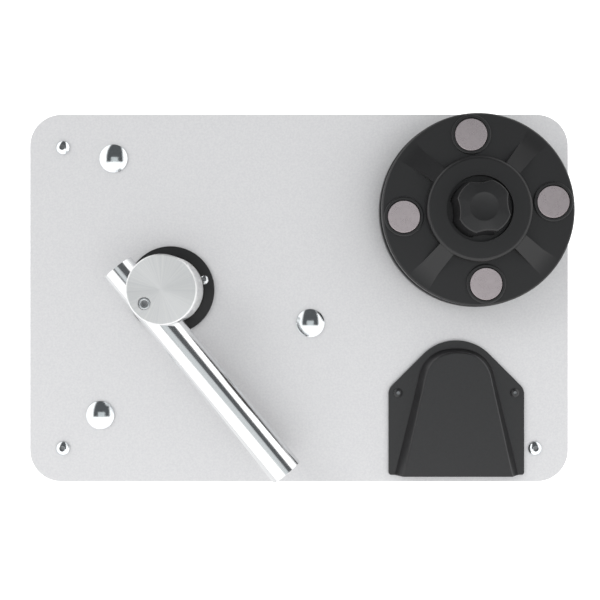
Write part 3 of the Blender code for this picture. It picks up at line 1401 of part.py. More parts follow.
def make_turbine():
    axis = pivot("turbine_axis", *TURBINE)
    hole = TURBINE_SHAFT_RADIUS + GAP
    hole_end = TURBINE_MOTOR_TOP - TURBINE_SHAFT_DEPTH - GAP
    motor_profile = [
        (0, hole_end),
        (hole, hole_end),
        (hole, TURBINE_MOTOR_TOP),
        (TURBINE_MOTOR_RADIUS, TURBINE_MOTOR_TOP),
        (TURBINE_MOTOR_RADIUS, BASE_TOP + GAP),
        (0, BASE_TOP + GAP),
    ]
    motor = turned("turbine_motor", motor_profile)
    floor = CASING_BOTTOM + CASING_WALL
    inner = CASING_RADIUS - CASING_WALL
    casing_profile = [
        (CASING_RADIUS, CASING_TOP),
        (CASING_RADIUS, CASING_BOTTOM),
        (hole, CASING_BOTTOM),
        (hole, floor),
        (inner, floor),
        (inner, CASING_TOP),
    ]
    casing = turned("turbine_casing", casing_profile)

    duct = DUCT - TURBINE
    inlet_top = COVER_TOP + INLET_COLLAR_HEIGHT
    outlet_top = PLATE_BOTTOM - GAP
    below = COVER_BOTTOM - OVERRUN
    cover = rod("turbine_cover", CASING_RADIUS, COVER_BOTTOM, COVER_TOP, segments=ROUND)
    inlet = rod("inlet_collar", HOSE_RADIUS, COVER_BOTTOM, inlet_top, segments=ROUND)
    outlet = rod("exhaust_duct", DUCT_RADIUS, COVER_BOTTOM, outlet_top, duct, ROUND)
    inlet_bore = rod("inlet_bore", HOSE_RADIUS - HOSE_WALL, below, inlet_top + OVERRUN, segments=ROUND)
    outlet_bore = rod("outlet_bore", DUCT_RADIUS - DUCT_WALL, below, outlet_top + OVERRUN, duct, ROUND)
    fuse(cover, inlet, outlet)
    cut(cover, inlet_bore, outlet_bore)

    for obj in (motor, casing, cover, inlet, outlet, inlet_bore, outlet_bore):
        obj.parent = axis
    paint(motor, "8D9092", 0.35, 1.0)
    black_plastic(casing)
    black_plastic(cover)
    make_fan(floor + FAN_AIR, hole_end + GAP, axis)
    make_hose(inlet_top + GAP)


def make_fan(bottom, shaft_bottom, turbine_axis):
    axis = pivot("fan_axis", 0, 0, 0, 0, turbine_axis)
    disc_top = bottom + FAN_DISC_THICKNESS
    top = disc_top + FAN_BLADE_HEIGHT
    tip = FAN_RADIUS - FAN_DISC_THICKNESS
    half_root = math.asin(FAN_BLADE_THICKNESS / 2 / FAN_HUB_RADIUS)
    half_tip = math.asin(FAN_BLADE_THICKNESS / 2 / tip)
    outline = []
    for blade in range(FAN_BLADE_COUNT):
        root = 2 * math.pi * blade / FAN_BLADE_COUNT
        end = root + FAN_BLADE_SWEEP
        corners = [
            (FAN_HUB_RADIUS, root - half_root),
            (tip, end - half_tip),
            (tip, end + half_tip),
            (FAN_HUB_RADIUS, root + half_root),
        ]
        outline += [(r * math.cos(a), r * math.sin(a)) for r, a in corners]
    fan = rod("turbine_fan", FAN_RADIUS, bottom, disc_top, segments=ROUND)
    blades = slab("blades", outline, bottom + FAN_DISC_THICKNESS / 2, top)
    shaft = rod("fan_shaft", TURBINE_SHAFT_RADIUS, shaft_bottom, bottom + FAN_DISC_THICKNESS / 2)
    fuse(fan, blades, shaft)
    for obj in (fan, blades, shaft):
        obj.parent = axis
    aluminium(fan)


def sweep(name, points, radius, sides):
    """A round solid along a path."""
    curve = bpy.data.curves.new(name, "CURVE")
    curve.dimensions = "3D"
    curve.bevel_depth = radius
    curve.bevel_resolution = sides // 2 - 2
    curve.use_fill_caps = True
    spline = curve.splines.new("POLY")
    spline.points.add(len(points) - 1)
    for point, place in zip(spline.points, points):
        point.co = (*place, 1)
    source = bpy.data.objects.new(name, curve)
    MACHINE.objects.link(source)
    bm = bmesh.new()
    bm.from_mesh(evaluated_mesh(source))
    bpy.data.objects.remove(source)
    bmesh.ops.remove_doubles(bm, verts=bm.verts, dist=MERGE)
    return mesh_object(name, bm)


def make_hose(end_height):
    """The suction hose from the tank's port over to the turbine's inlet."""
    heading = Vector((math.cos(TANK_PORT_ANGLE), math.sin(TANK_PORT_ANGLE), 0))
    reach = TANK_RADIUS + TANK_PORT_LENGTH + GAP
    start = Vector((*HUB, TANK_TOP - TANK_PORT_DROP)) + heading * reach
    end = Vector((*TURBINE, end_height))
    up = Vector((0, 0, 1))
    first = start + heading * HOSE_STRAIGHT
    last = end + up * HOSE_STRAIGHT
    bend = interpolate_bezier(first, first + heading * HOSE_LEAD, last + up * HOSE_LEAD, last, HOSE_STEPS)
    route = [start, *bend, end]
    beyond = [start - heading * OVERRUN, *route, end - up * OVERRUN]
    hose = sweep("suction_hose", route, HOSE_RADIUS, TINY)
    bore = sweep("hose_bore", beyond, HOSE_RADIUS - HOSE_WALL, TINY)
    rubber(cut(hose, bore))


def scoop_loop(mouth, shoulder, shoulder_depth, depth, height, front):
    """One level of the scoop: straight sides that draw in from the mouth, and a rounded rear end."""
    side = Vector((shoulder - mouth, shoulder_depth, 0)).normalized()
    start = Vector((shoulder, shoulder_depth, height))
    apex = Vector((0, depth, height))
    pull = side * (depth - shoulder_depth) * SCOOP_HANDLE_SHARE
    across = Vector((shoulder * SCOOP_HANDLE_SHARE, 0, 0))
    curve = interpolate_bezier(start, start + pull, apex + across, apex, SCOOP_ARC_STEPS)
    corner = Vector((mouth, 0, height)) - side * front
    half = [corner, *curve]
    return half + [Vector((-p.x, p.y, p.z)) for p in reversed(half[:-1])]


def make_hood():
    axis = pivot("hood_axis", *HOOD)
    arc_centre = HOOD_DEPTH - HOOD_APEX_RADIUS
    side_depth = arc_centre + HOOD_APEX_RADIUS * math.sqrt(2) - HOOD_HALF_WIDTH
    quarter = math.pi / 4
    corners = [(HOOD_HALF_WIDTH, 0), (HOOD_HALF_WIDTH, side_depth)]
    corners += arc((0, arc_centre), HOOD_APEX_RADIUS, quarter, 3 * quarter, 2 * CORNER_STEPS)
    corners += [(-HOOD_HALF_WIDTH, side_depth), (-HOOD_HALF_WIDTH, 0)]
    ends = [HOOD_FRONT_CORNER, HOOD_CORNER]
    radii = ends + [0] * (len(corners) - 4) + ends[::-1]
    side = HOOD_SCREW_SIDE
    holes = [ring(M3_RADIUS + GAP, TINY, (sx * side, HOOD_SCREW_DEPTH)) for sx in (-1, 1)]
    flange_top = HOOD_BOTTOM + HOOD_FLANGE_THICKNESS
    hood = slab("exhaust_hood", rounded(corners, radii), HOOD_BOTTOM, flange_top, holes)

    top = HOOD_BOTTOM + SCOOP_HEIGHT
    wide = (SCOOP_MOUTH_HALF_WIDTH, SCOOP_SHOULDER_HALF_WIDTH, SCOOP_SHOULDER_DEPTH, SCOOP_DEPTH)
    narrow = (
        SCOOP_TOP_MOUTH_HALF_WIDTH,
        SCOOP_TOP_SHOULDER_HALF_WIDTH,
        SCOOP_TOP_SHOULDER_DEPTH,
        SCOOP_TOP_DEPTH,
    )
    wall = HOOD_WALL
    wide_inside = (wide[0] - wall, wide[1] - wall, wide[2], wide[3] - wall)
    narrow_inside = (narrow[0] - wall, narrow[1] - wall, narrow[2], narrow[3] - wall)
    below = HOOD_BOTTOM - OVERRUN
    scoop = loft("scoop", [scoop_loop(*wide, HOOD_BOTTOM, 0), scoop_loop(*narrow, top, 0)])
    hollow = loft(
        "scoop_hollow",
        [
            scoop_loop(*wide_inside, below, OVERRUN),
            scoop_loop(*wide_inside, HOOD_BOTTOM, OVERRUN),
            scoop_loop(*narrow_inside, top - wall, OVERRUN),
        ],
    )
    fuse(hood, scoop)
    cut(hood, hollow)
    for obj in (hood, scoop, hollow):
        obj.parent = axis
    black_metal(hood)
    screw = m3_screw("hood_screw", HOOD_SCREW_LENGTH)
    places = [at(x, y, flange_top + GAP) for x, y in hood_screw_places()]
    for obj in repeat("hood_screw", screw, places):
        black_metal(obj)


def make_power_inlet():
    centre = (-inlet_x(), INLET_Z)
    flange_bottom = PANEL_FACE_Y + GAP
    face = flange_bottom + INLET_FLANGE_THICKNESS
    floor = face - INLET_RECESS_DEPTH
    body_bottom = PANEL_FACE_Y - INLET_BODY_DEPTH
    flange = rectangle(INLET_FLANGE_WIDTH, INLET_FLANGE_HEIGHT, INLET_CORNER, centre)
    inlet = slab("power_inlet", flange, flange_bottom, face)
    body_outline = rectangle(INLET_WIDTH, INLET_HEIGHT, 0, centre)
    body = slab("inlet_body", body_outline, body_bottom, flange_bottom + INLET_FLANGE_THICKNESS / 2)
    recess_outline = rectangle(INLET_RECESS_WIDTH, INLET_RECESS_HEIGHT, INLET_CORNER, centre)
    recess = slab("inlet_recess", recess_outline, floor, face + OVERRUN)
    x, y = centre
    places = [(x - INLET_PIN_SIDE, y), (x, y - INLET_PIN_DROP), (x + INLET_PIN_SIDE, y)]
    pin_outline = rectangle(INLET_PIN_WIDTH, INLET_PIN_HEIGHT)
    pin = slab("pin", pin_outline, floor - OVERRUN, floor + INLET_PIN_LENGTH)
    pins = copies("inlet_pins", pin, [at(px, py) for px, py in places])
    fuse(inlet, body)
    cut(inlet, recess)
    fuse(inlet, pins)
    for obj in (inlet, body, recess, pins):
        obj.matrix_world = BACK
    black_plastic(inlet)


def make_switches():
    flange_bottom = CASE_Y + GAP
    face = flange_bottom + SWITCH_FLANGE_THICKNESS
    pivot_depth = face - ROCKER_PIVOT_DEPTH
    rocker_radius = SWITCH_HEIGHT / 2 - SWITCH_WALL - GAP
    rocker_width = SWITCH_WIDTH - 2 * (SWITCH_WALL + GAP)
    rim = 2 * SWITCH_FLANGE_RIM
    middle = RIGHT - SWITCH_FROM_RIGHT
    width = SWITCH_PITCH + SWITCH_WIDTH
    flange = rectangle(width + rim, SWITCH_HEIGHT + rim, SWITCH_CORNER, (middle, SWITCH_Z))
    housing = slab("switch_housing", flange, flange_bottom, face)
    body_top = flange_bottom + SWITCH_FLANGE_THICKNESS / 2
    body_outline = rectangle(width, SWITCH_HEIGHT, 0, (middle, SWITCH_Z))
    body = slab("switch_body", body_outline, CASE_Y - SWITCH_DEPTH, body_top)
    hollow_outline = rectangle(rocker_width + 2 * GAP, 2 * (rocker_radius + GAP))
    hollow = slab("hollow", hollow_outline, pivot_depth - rocker_radius - GAP, face + OVERRUN)
    hole_reach = rocker_width / 2 + 2 * GAP + ROCKER_PIN_REACH
    pin_hole = rod("pin_hole", ROCKER_PIN_RADIUS + GAP, -hole_reach, hole_reach, segments=TINY)
    pin_hole.matrix_world = at(0, 0, pivot_depth) @ turn(math.pi / 2, "Y")
    fuse(hollow, pin_hole)
    hollows = copies("switch_hollows", hollow, [at(x, SWITCH_Z) for x in switch_places()])
    fuse(housing, body)
    cut(housing, hollows)
    for obj in (housing, body, hollows):
        obj.matrix_world = FRONT
    black_plastic(housing)

    names = ("direction_rocker", "vacuum_rocker")
    for name, x, tilt in zip(names, switch_places(), (0, ROCKER_TILT)):
        axis = pivot(name + "_axis", x, -pivot_depth, SWITCH_Z)
        axis.rotation_euler.x = tilt
        make_rocker(name, axis, rocker_radius, rocker_width)


def make_rocker(name, axis, radius, width):
    """A rocker with a shallow V front and a round back, turning on two pins along X."""
    end_height = ROCKER_RISE + ROCKER_PIVOT_DEPTH
    end_angle = math.asin(end_height / radius)
    back = arc((0, 0), radius, end_angle, -math.pi - end_angle, 3 * CORNER_STEPS)
    outline = [*back, (0, end_height - ROCKER_DIP)]
    rocker = slab(name, outline, -width / 2, width / 2)
    reach = width / 2 + GAP + ROCKER_PIN_REACH
    pins = rod("rocker_pins", ROCKER_PIN_RADIUS, -reach, reach, segments=TINY)
    fuse(rocker, pins)
    across = Matrix(((0, 0, 1), (0, -1, 0), (1, 0, 0))).to_4x4()
    for obj in (rocker, pins):
        obj.matrix_world = across
        obj.parent = axis
    black_plastic(rocker)


def make_power_board():
    top = BOARD_BOTTOM + BOARD_THICKNESS
    x = BOARD_LENGTH / 2
    y = BOARD_WIDTH / 2
    board = block("power_board", (-x, -y, BOARD_BOTTOM), (x, y, top))
    inner_x = x - BOARD_SUPPORT_INSET
    inner_y = y - BOARD_SUPPORT_INSET
    low = BOARD_BOTTOM + BOARD_THICKNESS / 2
    support = rod("support", BOARD_SUPPORT_RADIUS, BASE_TOP + GAP, low, segments=TINY)
    supports = copies("supports", support, [at(sx * inner_x, sy * inner_y) for sx, sy in CORNERS])
    tx = TRANSFORMER_LENGTH / 2
    ty = TRANSFORMER_WIDTH / 2
    left = TRANSFORMER_SIDE - tx
    transformer = block("transformer", (left, -ty, low), (left + 2 * tx, ty, top + TRANSFORMER_HEIGHT))
    capacitor = rod("capacitor", CAPACITOR_RADIUS, low, top + CAPACITOR_HEIGHT, (CAPACITOR_SIDE, 0))
    fuse(board, supports, transformer, capacitor)
    for obj in (board, supports, transformer, capacitor):
        obj.location = (*BOARD, 0)
    paint(board, "2F6B45", 0.5)


make_top_plate()
make_case()
make_base()
make_column()
make_arm()
make_platter()
make_tank()
make_level_tube()
make_turbine()
make_hood()
make_power_inlet()
make_switches()
make_power_board()
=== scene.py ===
"""The looks of a record cleaning machine, seen from straight above.

Fine pieces replace the plain solids that show, every other solid gets its finish, and a pale studio with
soft light and a camera over the top plate completes the scene. Lengths are in metres, +Z up.
"""

import json
import math

import bmesh
import bpy
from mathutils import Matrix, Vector
from mathutils.geometry import interpolate_bezier


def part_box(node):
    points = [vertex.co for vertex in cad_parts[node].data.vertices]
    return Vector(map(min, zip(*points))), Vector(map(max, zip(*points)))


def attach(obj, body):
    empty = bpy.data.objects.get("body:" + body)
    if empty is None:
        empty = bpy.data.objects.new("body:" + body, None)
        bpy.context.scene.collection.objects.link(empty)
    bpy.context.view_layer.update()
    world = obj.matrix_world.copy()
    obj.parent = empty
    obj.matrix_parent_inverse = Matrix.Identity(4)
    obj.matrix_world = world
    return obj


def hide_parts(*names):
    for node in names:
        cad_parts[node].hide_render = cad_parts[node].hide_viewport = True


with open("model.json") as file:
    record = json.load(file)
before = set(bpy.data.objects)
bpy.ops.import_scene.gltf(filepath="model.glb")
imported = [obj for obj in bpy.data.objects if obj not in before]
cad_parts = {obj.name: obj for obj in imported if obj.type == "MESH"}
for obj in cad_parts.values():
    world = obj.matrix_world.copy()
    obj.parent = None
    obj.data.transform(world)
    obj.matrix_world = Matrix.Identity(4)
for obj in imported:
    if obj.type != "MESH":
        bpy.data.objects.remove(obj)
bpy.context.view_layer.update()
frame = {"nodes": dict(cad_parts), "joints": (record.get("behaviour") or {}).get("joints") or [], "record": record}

MM = 0.001
OVERRUN = 1 * MM  # how far a cutter runs past what it cuts
GAP = 0.3 * MM

# The photograph: a camera straight over the top plate
FRAME_PIXELS = 600
PLATE_CENTRE_PIXEL = (299, 298)
CAMERA_RISE = 641 * MM  # above the top plate
LENS = 67.2
SENSOR = 36

# What the studio gives: plain light, and what shiny metal mirrors
AMBIENT = (0.97, 0.97, 0.97, 1)
SOFTBOX_LIGHT = (1.55, 1.55, 1.55, 1)
REAR_DARK = (0.11, 0.115, 0.12, 1)
OVERHEAD_GREY = (0.72, 0.755, 0.765, 1)
WHITE = (1, 1, 1, 1)
EDGE_BLUR = 0.03
FLOOR_SIZE = 6
FLOOR_DROP = 0.2 * MM  # how far the floor lies under the feet
FLOOR_GLOW = 0.62

# Where metal mirrors the dark rear and the grey patch, as parts of the direction's unit vector
DARK_WIDTH = 0.24  # half the dark's width at the horizon
DARK_SPREAD = 0.57  # and how much wider it gets up to the zenith
DARK_FRONT = -0.2
PATCH_SIDE = (0.32, 0.26)
PATCH_REAR = (0.22, 0.18)

# The lamps: name, place, size and power
LAMPS = (
    ("overhead_softbox", (0.3, -0.25, 1.5), 0.62, 2.5),
    ("left_key", (-1.1, 0.7, 1.5), 0.7, 7),
)

# Facets round a full turn
FINEST = 192
APEX_FACETS = 160
FINE = 128
DOME_FACETS = 96
ROUND = 64
SCREW_FACETS = 48
STUD_FACETS = 24
HEXAGON = 6

# Steps round a corner, the part of a bar's width that rounds its ends off, and what shades smooth
PLATE_STEPS = 24
CASE_STEPS = 12
CORNER_STEPS = 6
FULL_ROUND = 0.49
SMOOTH_ANGLE = math.radians(40)

# Widths of softened edges
SCREW_EDGE = 0.12 * MM
HUB_EDGE = 0.15 * MM
THIN_EDGE = 0.2 * MM
CUT_EDGE = 0.3 * MM
CASE_EDGE = 0.35 * MM
SHEET_EDGE = 0.4 * MM
ROCKER_EDGE = 0.45 * MM
MOULDED_EDGE = 0.5 * MM
RIM_EDGE = 0.6 * MM
BOSS_EDGE = 0.7 * MM
HOOD_EDGE = 0.8 * MM
FOOT_EDGE = 1.2 * MM


def joint_place(name):
    joint = next(joint for joint in frame["joints"] if joint["name"] == name)
    return Vector(joint["pos_m"])


HUB = joint_place("arm_swivel")
SPINDLE = joint_place("platter_spin")
PLATE_LOW, PLATE_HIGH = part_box("top_plate")
PLATE_TOP = PLATE_HIGH.z

# Top plate and case
PLATE_CORNER = 18 * MM
CASE_CORNER = 10 * MM
CASE_WALL = 3 * MM
POST_SIDE = 18 * MM
GROOVE_DEPTH = 4 * MM
FOOT_HEIGHT = 10 * MM
FOOT_STUD_RADIUS = 2 * MM
VENT_LENGTH = 30 * MM
VENT_WIDTH = 3 * MM
VENT_PITCH = 7 * MM
VENT_COUNT = 7
VENT_RISE = 95 * MM
DUCT_PLACE = Vector((89.8 * MM, -55 * MM))
DUCT_BORE = 10.5 * MM

# Screws: thread radius, head radius and height, hexagon socket radius and depth
M3_SCREW = (1.5 * MM, 2.5 * MM, 1.5 * MM, 1.15 * MM, 0.9 * MM)
M4_SCREW = (2 * MM, 4 * MM, 2.6 * MM, 1.6 * MM, 1.4 * MM)
M3_LENGTH = 6 * MM
M4_LENGTH = 16 * MM
HEAD_RIM_SHARE = 0.25  # the upright rim, over the head's height
HEAD_FLAT_SHARE = 0.12  # the flat middle, over the head's arc
HEAD_STEPS = 10
SOCKET_LIP = 0.2 * MM  # the head's finish reaches this far into a socket; below it the socket is painted darker as shade
SOCKET_DEEPEST = 2 * MM
DOME_RADIUS = 8 * MM
DOME_HEIGHT = 3.5 * MM
DOME_EDGE = 0.8 * MM
DOME_FLAT_SHARE = 0.03
DOME_STEPS = 20
BOLT_RADIUS = 3 * MM

# Arm
FLANGE_RADIUS = 25 * MM
COLUMN_RADIUS = 9 * MM
COLUMN_BORE = 7.5 * MM
COLUMN_FOOT_RADIUS = 20 * MM
BUSH_COLLAR_RADIUS = 16 * MM
HUB_RADIUS = 19 * MM
HUB_BORE = 12.3 * MM
HUB_CAVITY = 23.8 * MM  # from the hub's top down to the roof of its cavity
HUB_CHAMFER = 0.7 * MM
TUBE_HEADING = math.radians(-50.45)
TUBE_OFFSET = 11.7 * MM
TUBE_RADIUS = 9.15 * MM
TUBE_BORE = 7.65 * MM
TUBE_AHEAD = 118.7 * MM
TUBE_BEHIND = 25 * MM
SEAT_OVERRUN = 5 * MM
TUBE_UNDER_HUB_TOP = 12.5 * MM
TUBE_PLUG_THICKNESS = 3 * MM
TUBE_PLUG_RECESS = 0.5 * MM
SLOT_START = 34 * MM
SLOT_FROM_END = 6 * MM
SLOT_WIDTH = 2.5 * MM
PAD_WIDTH = 4 * MM
PAD_DEPTH = 2.4 * MM
HUB_SCREW_RADIUS = 3.1 * MM
HUB_SCREW_HEIGHT = 1.7 * MM
HUB_SCREW_RIM = 1.9 * MM
HUB_SCREW_DIP = 0.35 * MM
HUB_SCREW_SEAT = 2 * MM
HUB_SCREW_SOCKET_SHARE = 0.8  # the socket's depth, over the head's height

# Platter and clamp
CLAMP_ANGLE = math.radians(5.7)
PLATTER_RADIUS = 53.5 * MM
PLATTER_THICKNESS = 6 * MM
PLATTER_HUB_RADIUS = 14 * MM
SHAFT_RADIUS = 5 * MM
BEARING_WALL = 4.3 * MM
PIN_RADIUS = 3.6 * MM
PIN_ROUNDING = 1.2 * MM
MAT_RADIUS = 50 * MM
CLAMP_RADIUS = 52.8 * MM
CLAMP_THICKNESS = 6.4 * MM
CLAMP_BOSS_DEPTH = 1.6 * MM
CLAMP_CHAMFER = 0.8 * MM
CLAMP_SHARPEST = 25  # degrees: flatter edges of the clamp stay as they are
COLLAR_RADIUS = 28.8 * MM
COLLAR_HEIGHT = 6 * MM
COLLAR_CHAMFER = 2 * MM
RECESS_RADIUS = 18.1 * MM
RECESS_DEPTH = 4 * MM
SEAL_OUTER = 50.8 * MM
SEAL_INNER = 45.3 * MM
MAGNET_COUNT = 4
MAGNET_CIRCLE = 41 * MM
MAGNET_RADIUS = 8.9 * MM
MAGNET_RIM = 1.7 * MM
MAGNET_RIM_HEIGHT = 1.2 * MM
RAMP_END = 42.3 * MM
RAMP_INNER_WIDTH = 9.4 * MM
RAMP_OUTER_WIDTH = 10.9 * MM
KNOB_RADIUS = 14.8 * MM
KNOB_FLARE = 1.4 * MM
KNOB_SCALLOPS = 4
KNOB_SCALLOP_DEPTH = 1.9 * MM
KNOB_SCALLOP_RADIUS = 20 * MM
KNOB_DISH_RADIUS = 7.3 * MM
KNOB_DISH_DEPTH = 0.7 * MM
KNOB_SHOULDER = 0.6 * MM  # how far the knob's edge lies under its crown
KNOB_EDGE = 0.9 * MM
KNOB_EDGE_STEPS = 5
KNOB_CROWN_RIM = 0.6 * MM
KNOB_DISH_LIP = 0.15 * MM
KNOB_DISH_STEPS = 6

# Exhaust hood, from the middle of its mouth
HOOD_HALF_WIDTH = 38.65 * MM
HOOD_DEPTH = 76.7 * MM
HOOD_APEX_RADIUS = 26.5 * MM
HOOD_FLANGE = 1.8 * MM
HOOD_CORNER = 2.5 * MM
HOOD_FRONT_CORNER = 1.5 * MM
HOOD_WALL = 1.6 * MM
HOOD_FOOT = (36.3 * MM, 22.4 * MM, 56.4 * MM, 72.7 * MM)  # half mouth, half shoulder and the two depths
HOOD_CROWN = (30.9 * MM, 18.7 * MM, 55.5 * MM, 70.2 * MM)
HOOD_CURVE_SHARE = 0.6
HOOD_CURVE_STEPS = 24
HOOD_ROUND_OVER = 0.8 * MM
HOOD_ROUND_STEPS = 5
HOOD_ROUND_SHARE = 0.9  # how far the round-over goes inwards, over its height
HOOD_FLATNESS = math.radians(0.5)
HOOD_SHARPEST = 28

# Level tube, stopper, switches and power inlet
LEVEL_TUBE_RADIUS = 3.5 * MM
LEVEL_TUBE_BORE = 2.3 * MM
STOPPER_RADIUS = 4.2 * MM
STOPPER_HEAD = 5 * MM
STOPPER_PLUG_RADIUS = 2 * MM
SWITCH_FRAME = 2 * MM  # the frame's thickness, and its width round the body
SWITCH_WINDOW_RIM = 1.7 * MM
SWITCH_CORNER = 1.5 * MM
WELL_HALF_WIDTH = 6.1 * MM
WELL_REACH = 10.6 * MM
ROCKER_RADIUS = 10.3 * MM
ROCKER_HALF_WIDTH = 5.8 * MM
ROCKER_END = 3 * MM
ROCKER_DIP = 1.9 * MM
ROCKER_STEPS = 32
ROCKER_SHARPEST = 20
VACUUM_OFF_TILT = math.radians(9)
INLET_FLANGE = 2.5 * MM
INLET_FRAME = 2 * MM  # the flange's width round the body
INLET_CORNER = 2 * MM
INLET_HALF_WIDTH = 11.3 * MM
INLET_HALF_HEIGHT = 7.8 * MM
INLET_DEPTH = 17 * MM
INLET_PINS = ((-7 * MM, 0), (0, -2 * MM), (7 * MM, 0))
INLET_PIN_SIZE = (1 * MM, 10 * MM, 2 * MM)  # half width, length and half height


def deselect():
    if bpy.context.mode != "OBJECT":
        bpy.ops.object.mode_set(mode="OBJECT")
    bpy.ops.object.select_all(action="DESELECT")


def only(obj):
    """The object alone is selected and active."""
    deselect()
    obj.select_set(True)
    bpy.context.view_layer.objects.active = obj


def named(name):
    obj = bpy.context.object
    obj.name = name
    obj.data.name = name
    return obj


def settled(obj):
    """The object's place goes into its mesh."""
    only(obj)
    bpy.ops.object.transform_apply(location=True, rotation=True, scale=True)
    return obj


def boxed(name, low, high):
    low = Vector(low)
    size = Vector(high) - low
    deselect()
    bpy.ops.mesh.primitive_cube_add(size=1, location=low + size / 2)
    obj = named(name)
    obj.scale = size
    return settled(obj)


def drum(name, radius, bottom, top, centre=(0, 0), sides=ROUND):
    deselect()
    middle = (centre[0], centre[1], (bottom + top) / 2)
    bpy.ops.mesh.primitive_cylinder_add(vertices=sides, radius=radius, depth=top - bottom, location=middle)
    return settled(named(name))


def skinned(name, loops, closed=False):
    """A skin through loops of points: the first loop is extruded and moved to each next one."""
    count = len(loops[0])
    deselect()
    bpy.ops.mesh.primitive_circle_add(vertices=count, radius=1, location=(0, 0, 0))
    obj = named(name)
    bpy.ops.object.mode_set(mode="EDIT")
    row = list(range(count))
    rows = []
    for loop in loops:
        if rows:
            bpy.ops.mesh.extrude_edges_move()
        bm = bmesh.from_edit_mesh(obj.data)
        bm.verts.ensure_lookup_table()
        if rows:
            row = [new_partner(bm.verts[index]) for index in row]
        for index, point in zip(row, loop):
            bm.verts[index].co = point
        bmesh.update_edit_mesh(obj.data)
        rows.append(row)
    if closed:
        select_verts(obj, {*rows[0], *rows[-1]})
        bpy.ops.mesh.bridge_edge_loops()
    else:
        for end in (rows[0], rows[-1]):
            select_verts(obj, set(end))
            bpy.ops.mesh.edge_face_add()
    bpy.ops.mesh.select_all(action="SELECT")
    bpy.ops.mesh.normals_make_consistent(inside=False)
    bpy.ops.object.mode_set(mode="OBJECT")
    return obj


def new_partner(vert):
    """The index of the vertex that an extrusion has just drawn out of this one."""
    others = [edge.other_vert(vert) for edge in vert.link_edges]
    return next(other.index for other in others if other.select)


def select_verts(obj, chosen):
    bpy.ops.mesh.select_mode(type="VERT")
    bpy.ops.mesh.select_all(action="DESELECT")
    bm = bmesh.from_edit_mesh(obj.data)
    for vert in bm.verts:
        vert.select_set(vert.index in chosen)
    bm.select_flush(True)
    bmesh.update_edit_mesh(obj.data)


def ring(radius, height, centre=(0, 0), sides=FINE):
    turns = [2 * math.pi * step / sides for step in range(sides)]
    return [(centre[0] + radius * math.cos(a), centre[1] + radius * math.sin(a), height) for a in turns]


def turned(name, profile, centre=(0, 0), sides=FINE, hollow=False):
    """A turned piece: a profile of (radius, height) points, from its top down its outer side."""
    loops = [ring(radius, height, centre, sides) for radius, height in profile]
    return skinned(name, loops, hollow)


def sleeve(name, outer, inner, low, high, centre, sides=FINE):
    """A straight-walled ring."""
    profile = [(outer, high), (outer, low), (inner, low), (inner, high)]
    return turned(name, profile, centre, sides, hollow=True)


def arc_profile(centre_radius, centre_height, radius, start, end, steps):
    """Profile points along an arc; angles are in degrees up from the outward direction."""
    points = []
    for step in range(steps + 1):
        angle = math.radians(start + (end - start) * step / steps)
        points.append((centre_radius + radius * math.cos(angle), centre_height + radius * math.sin(angle)))
    return points


def quarter_turn(steps):
    """Angles over a quarter turn, without its start."""
    return [math.pi / 2 * step / steps for step in range(1, steps + 1)]


def upright(a, b):
    return abs(a.z - b.z) > max(abs(a.x - b.x), abs(a.y - b.y))


def sideways(a, b):
    return abs(a.x - b.x) > max(abs(a.z - b.z), abs(a.y - b.y))


def lengthways(a, b):
    return abs(a.y - b.y) > max(abs(a.z - b.z), abs(a.x - b.x))


def round_edges(obj, test, radius, segments):
    """Bevels the edges whose two ends pass the test."""
    only(obj)
    bpy.ops.object.mode_set(mode="EDIT")
    bpy.ops.mesh.select_mode(type="EDGE")
    bpy.ops.mesh.select_all(action="DESELECT")
    bm = bmesh.from_edit_mesh(obj.data)
    for edge in bm.edges:
        edge.select_set(test(edge.verts[0].co, edge.verts[1].co))
    bmesh.update_edit_mesh(obj.data)
    bpy.ops.mesh.bevel(offset=radius, segments=segments, affect="EDGES")
    bpy.ops.object.mode_set(mode="OBJECT")
    return obj


def modified(obj, kind, **settings):
    """The object with a modifier's work applied to its mesh."""
    modifier = obj.modifiers.new(kind.title(), kind)
    for key, value in settings.items():
        setattr(modifier, key, value)
    only(obj)
    bpy.ops.object.modifier_apply(modifier=modifier.name)
    return obj


def boolean(obj, tool, operation):
    modified(obj, "BOOLEAN", operation=operation, solver="EXACT", object=tool)
    bpy.data.objects.remove(tool)


def carve(obj, *tools):
    for tool in tools:
        boolean(obj, tool, "DIFFERENCE")
    return obj


def weld(obj, *tools):
    for tool in tools:
        boolean(obj, tool, "UNION")
    return obj


def soften(obj, width, segments=3, angle=30):
    """Rounds every edge sharper than the angle."""
    limit = math.radians(angle)
    return modified(obj, "BEVEL", width=width, segments=segments, limit_method="ANGLE", angle_limit=limit)


def join(obj, other):
    """The other object becomes a part of this one."""
    only(obj)
    other.select_set(True)
    bpy.ops.object.join()


def placed(obj, x, y, z=0.0, rotation=(0, 0, 0)):
    obj.location = (x, y, z)
    obj.rotation_euler = rotation
    return settled(obj)


def on_arm(obj):
    return placed(obj, HUB.x, HUB.y, 0, (0, 0, TUBE_HEADING))


def on_clamp(obj):
    return placed(obj, SPINDLE.x, SPINDLE.y, 0, (0, 0, CLAMP_ANGLE))


def dress(obj, body, slot, *nodes):
    """The piece gets its finish, rides on its body and stands for its nodes."""
    only(obj)
    bpy.ops.object.shade_smooth_by_angle(angle=SMOOTH_ANGLE)
    modified(obj, "WEIGHTED_NORMAL", keep_sharp=True)
    if not obj.data.materials:
        obj.data.materials.append(FINISHES[slot])
    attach(obj, body)
    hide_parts(*nodes)
    return obj


def linear(code):
    """An sRGB colour code such as 808080, as linear light."""
    values = [int(code[index : index + 2], 16) / 255 for index in (0, 2, 4)]
    return (*[v / 12.92 if v <= 0.04045 else ((v + 0.055) / 1.055) ** 2.4 for v in values], 1)


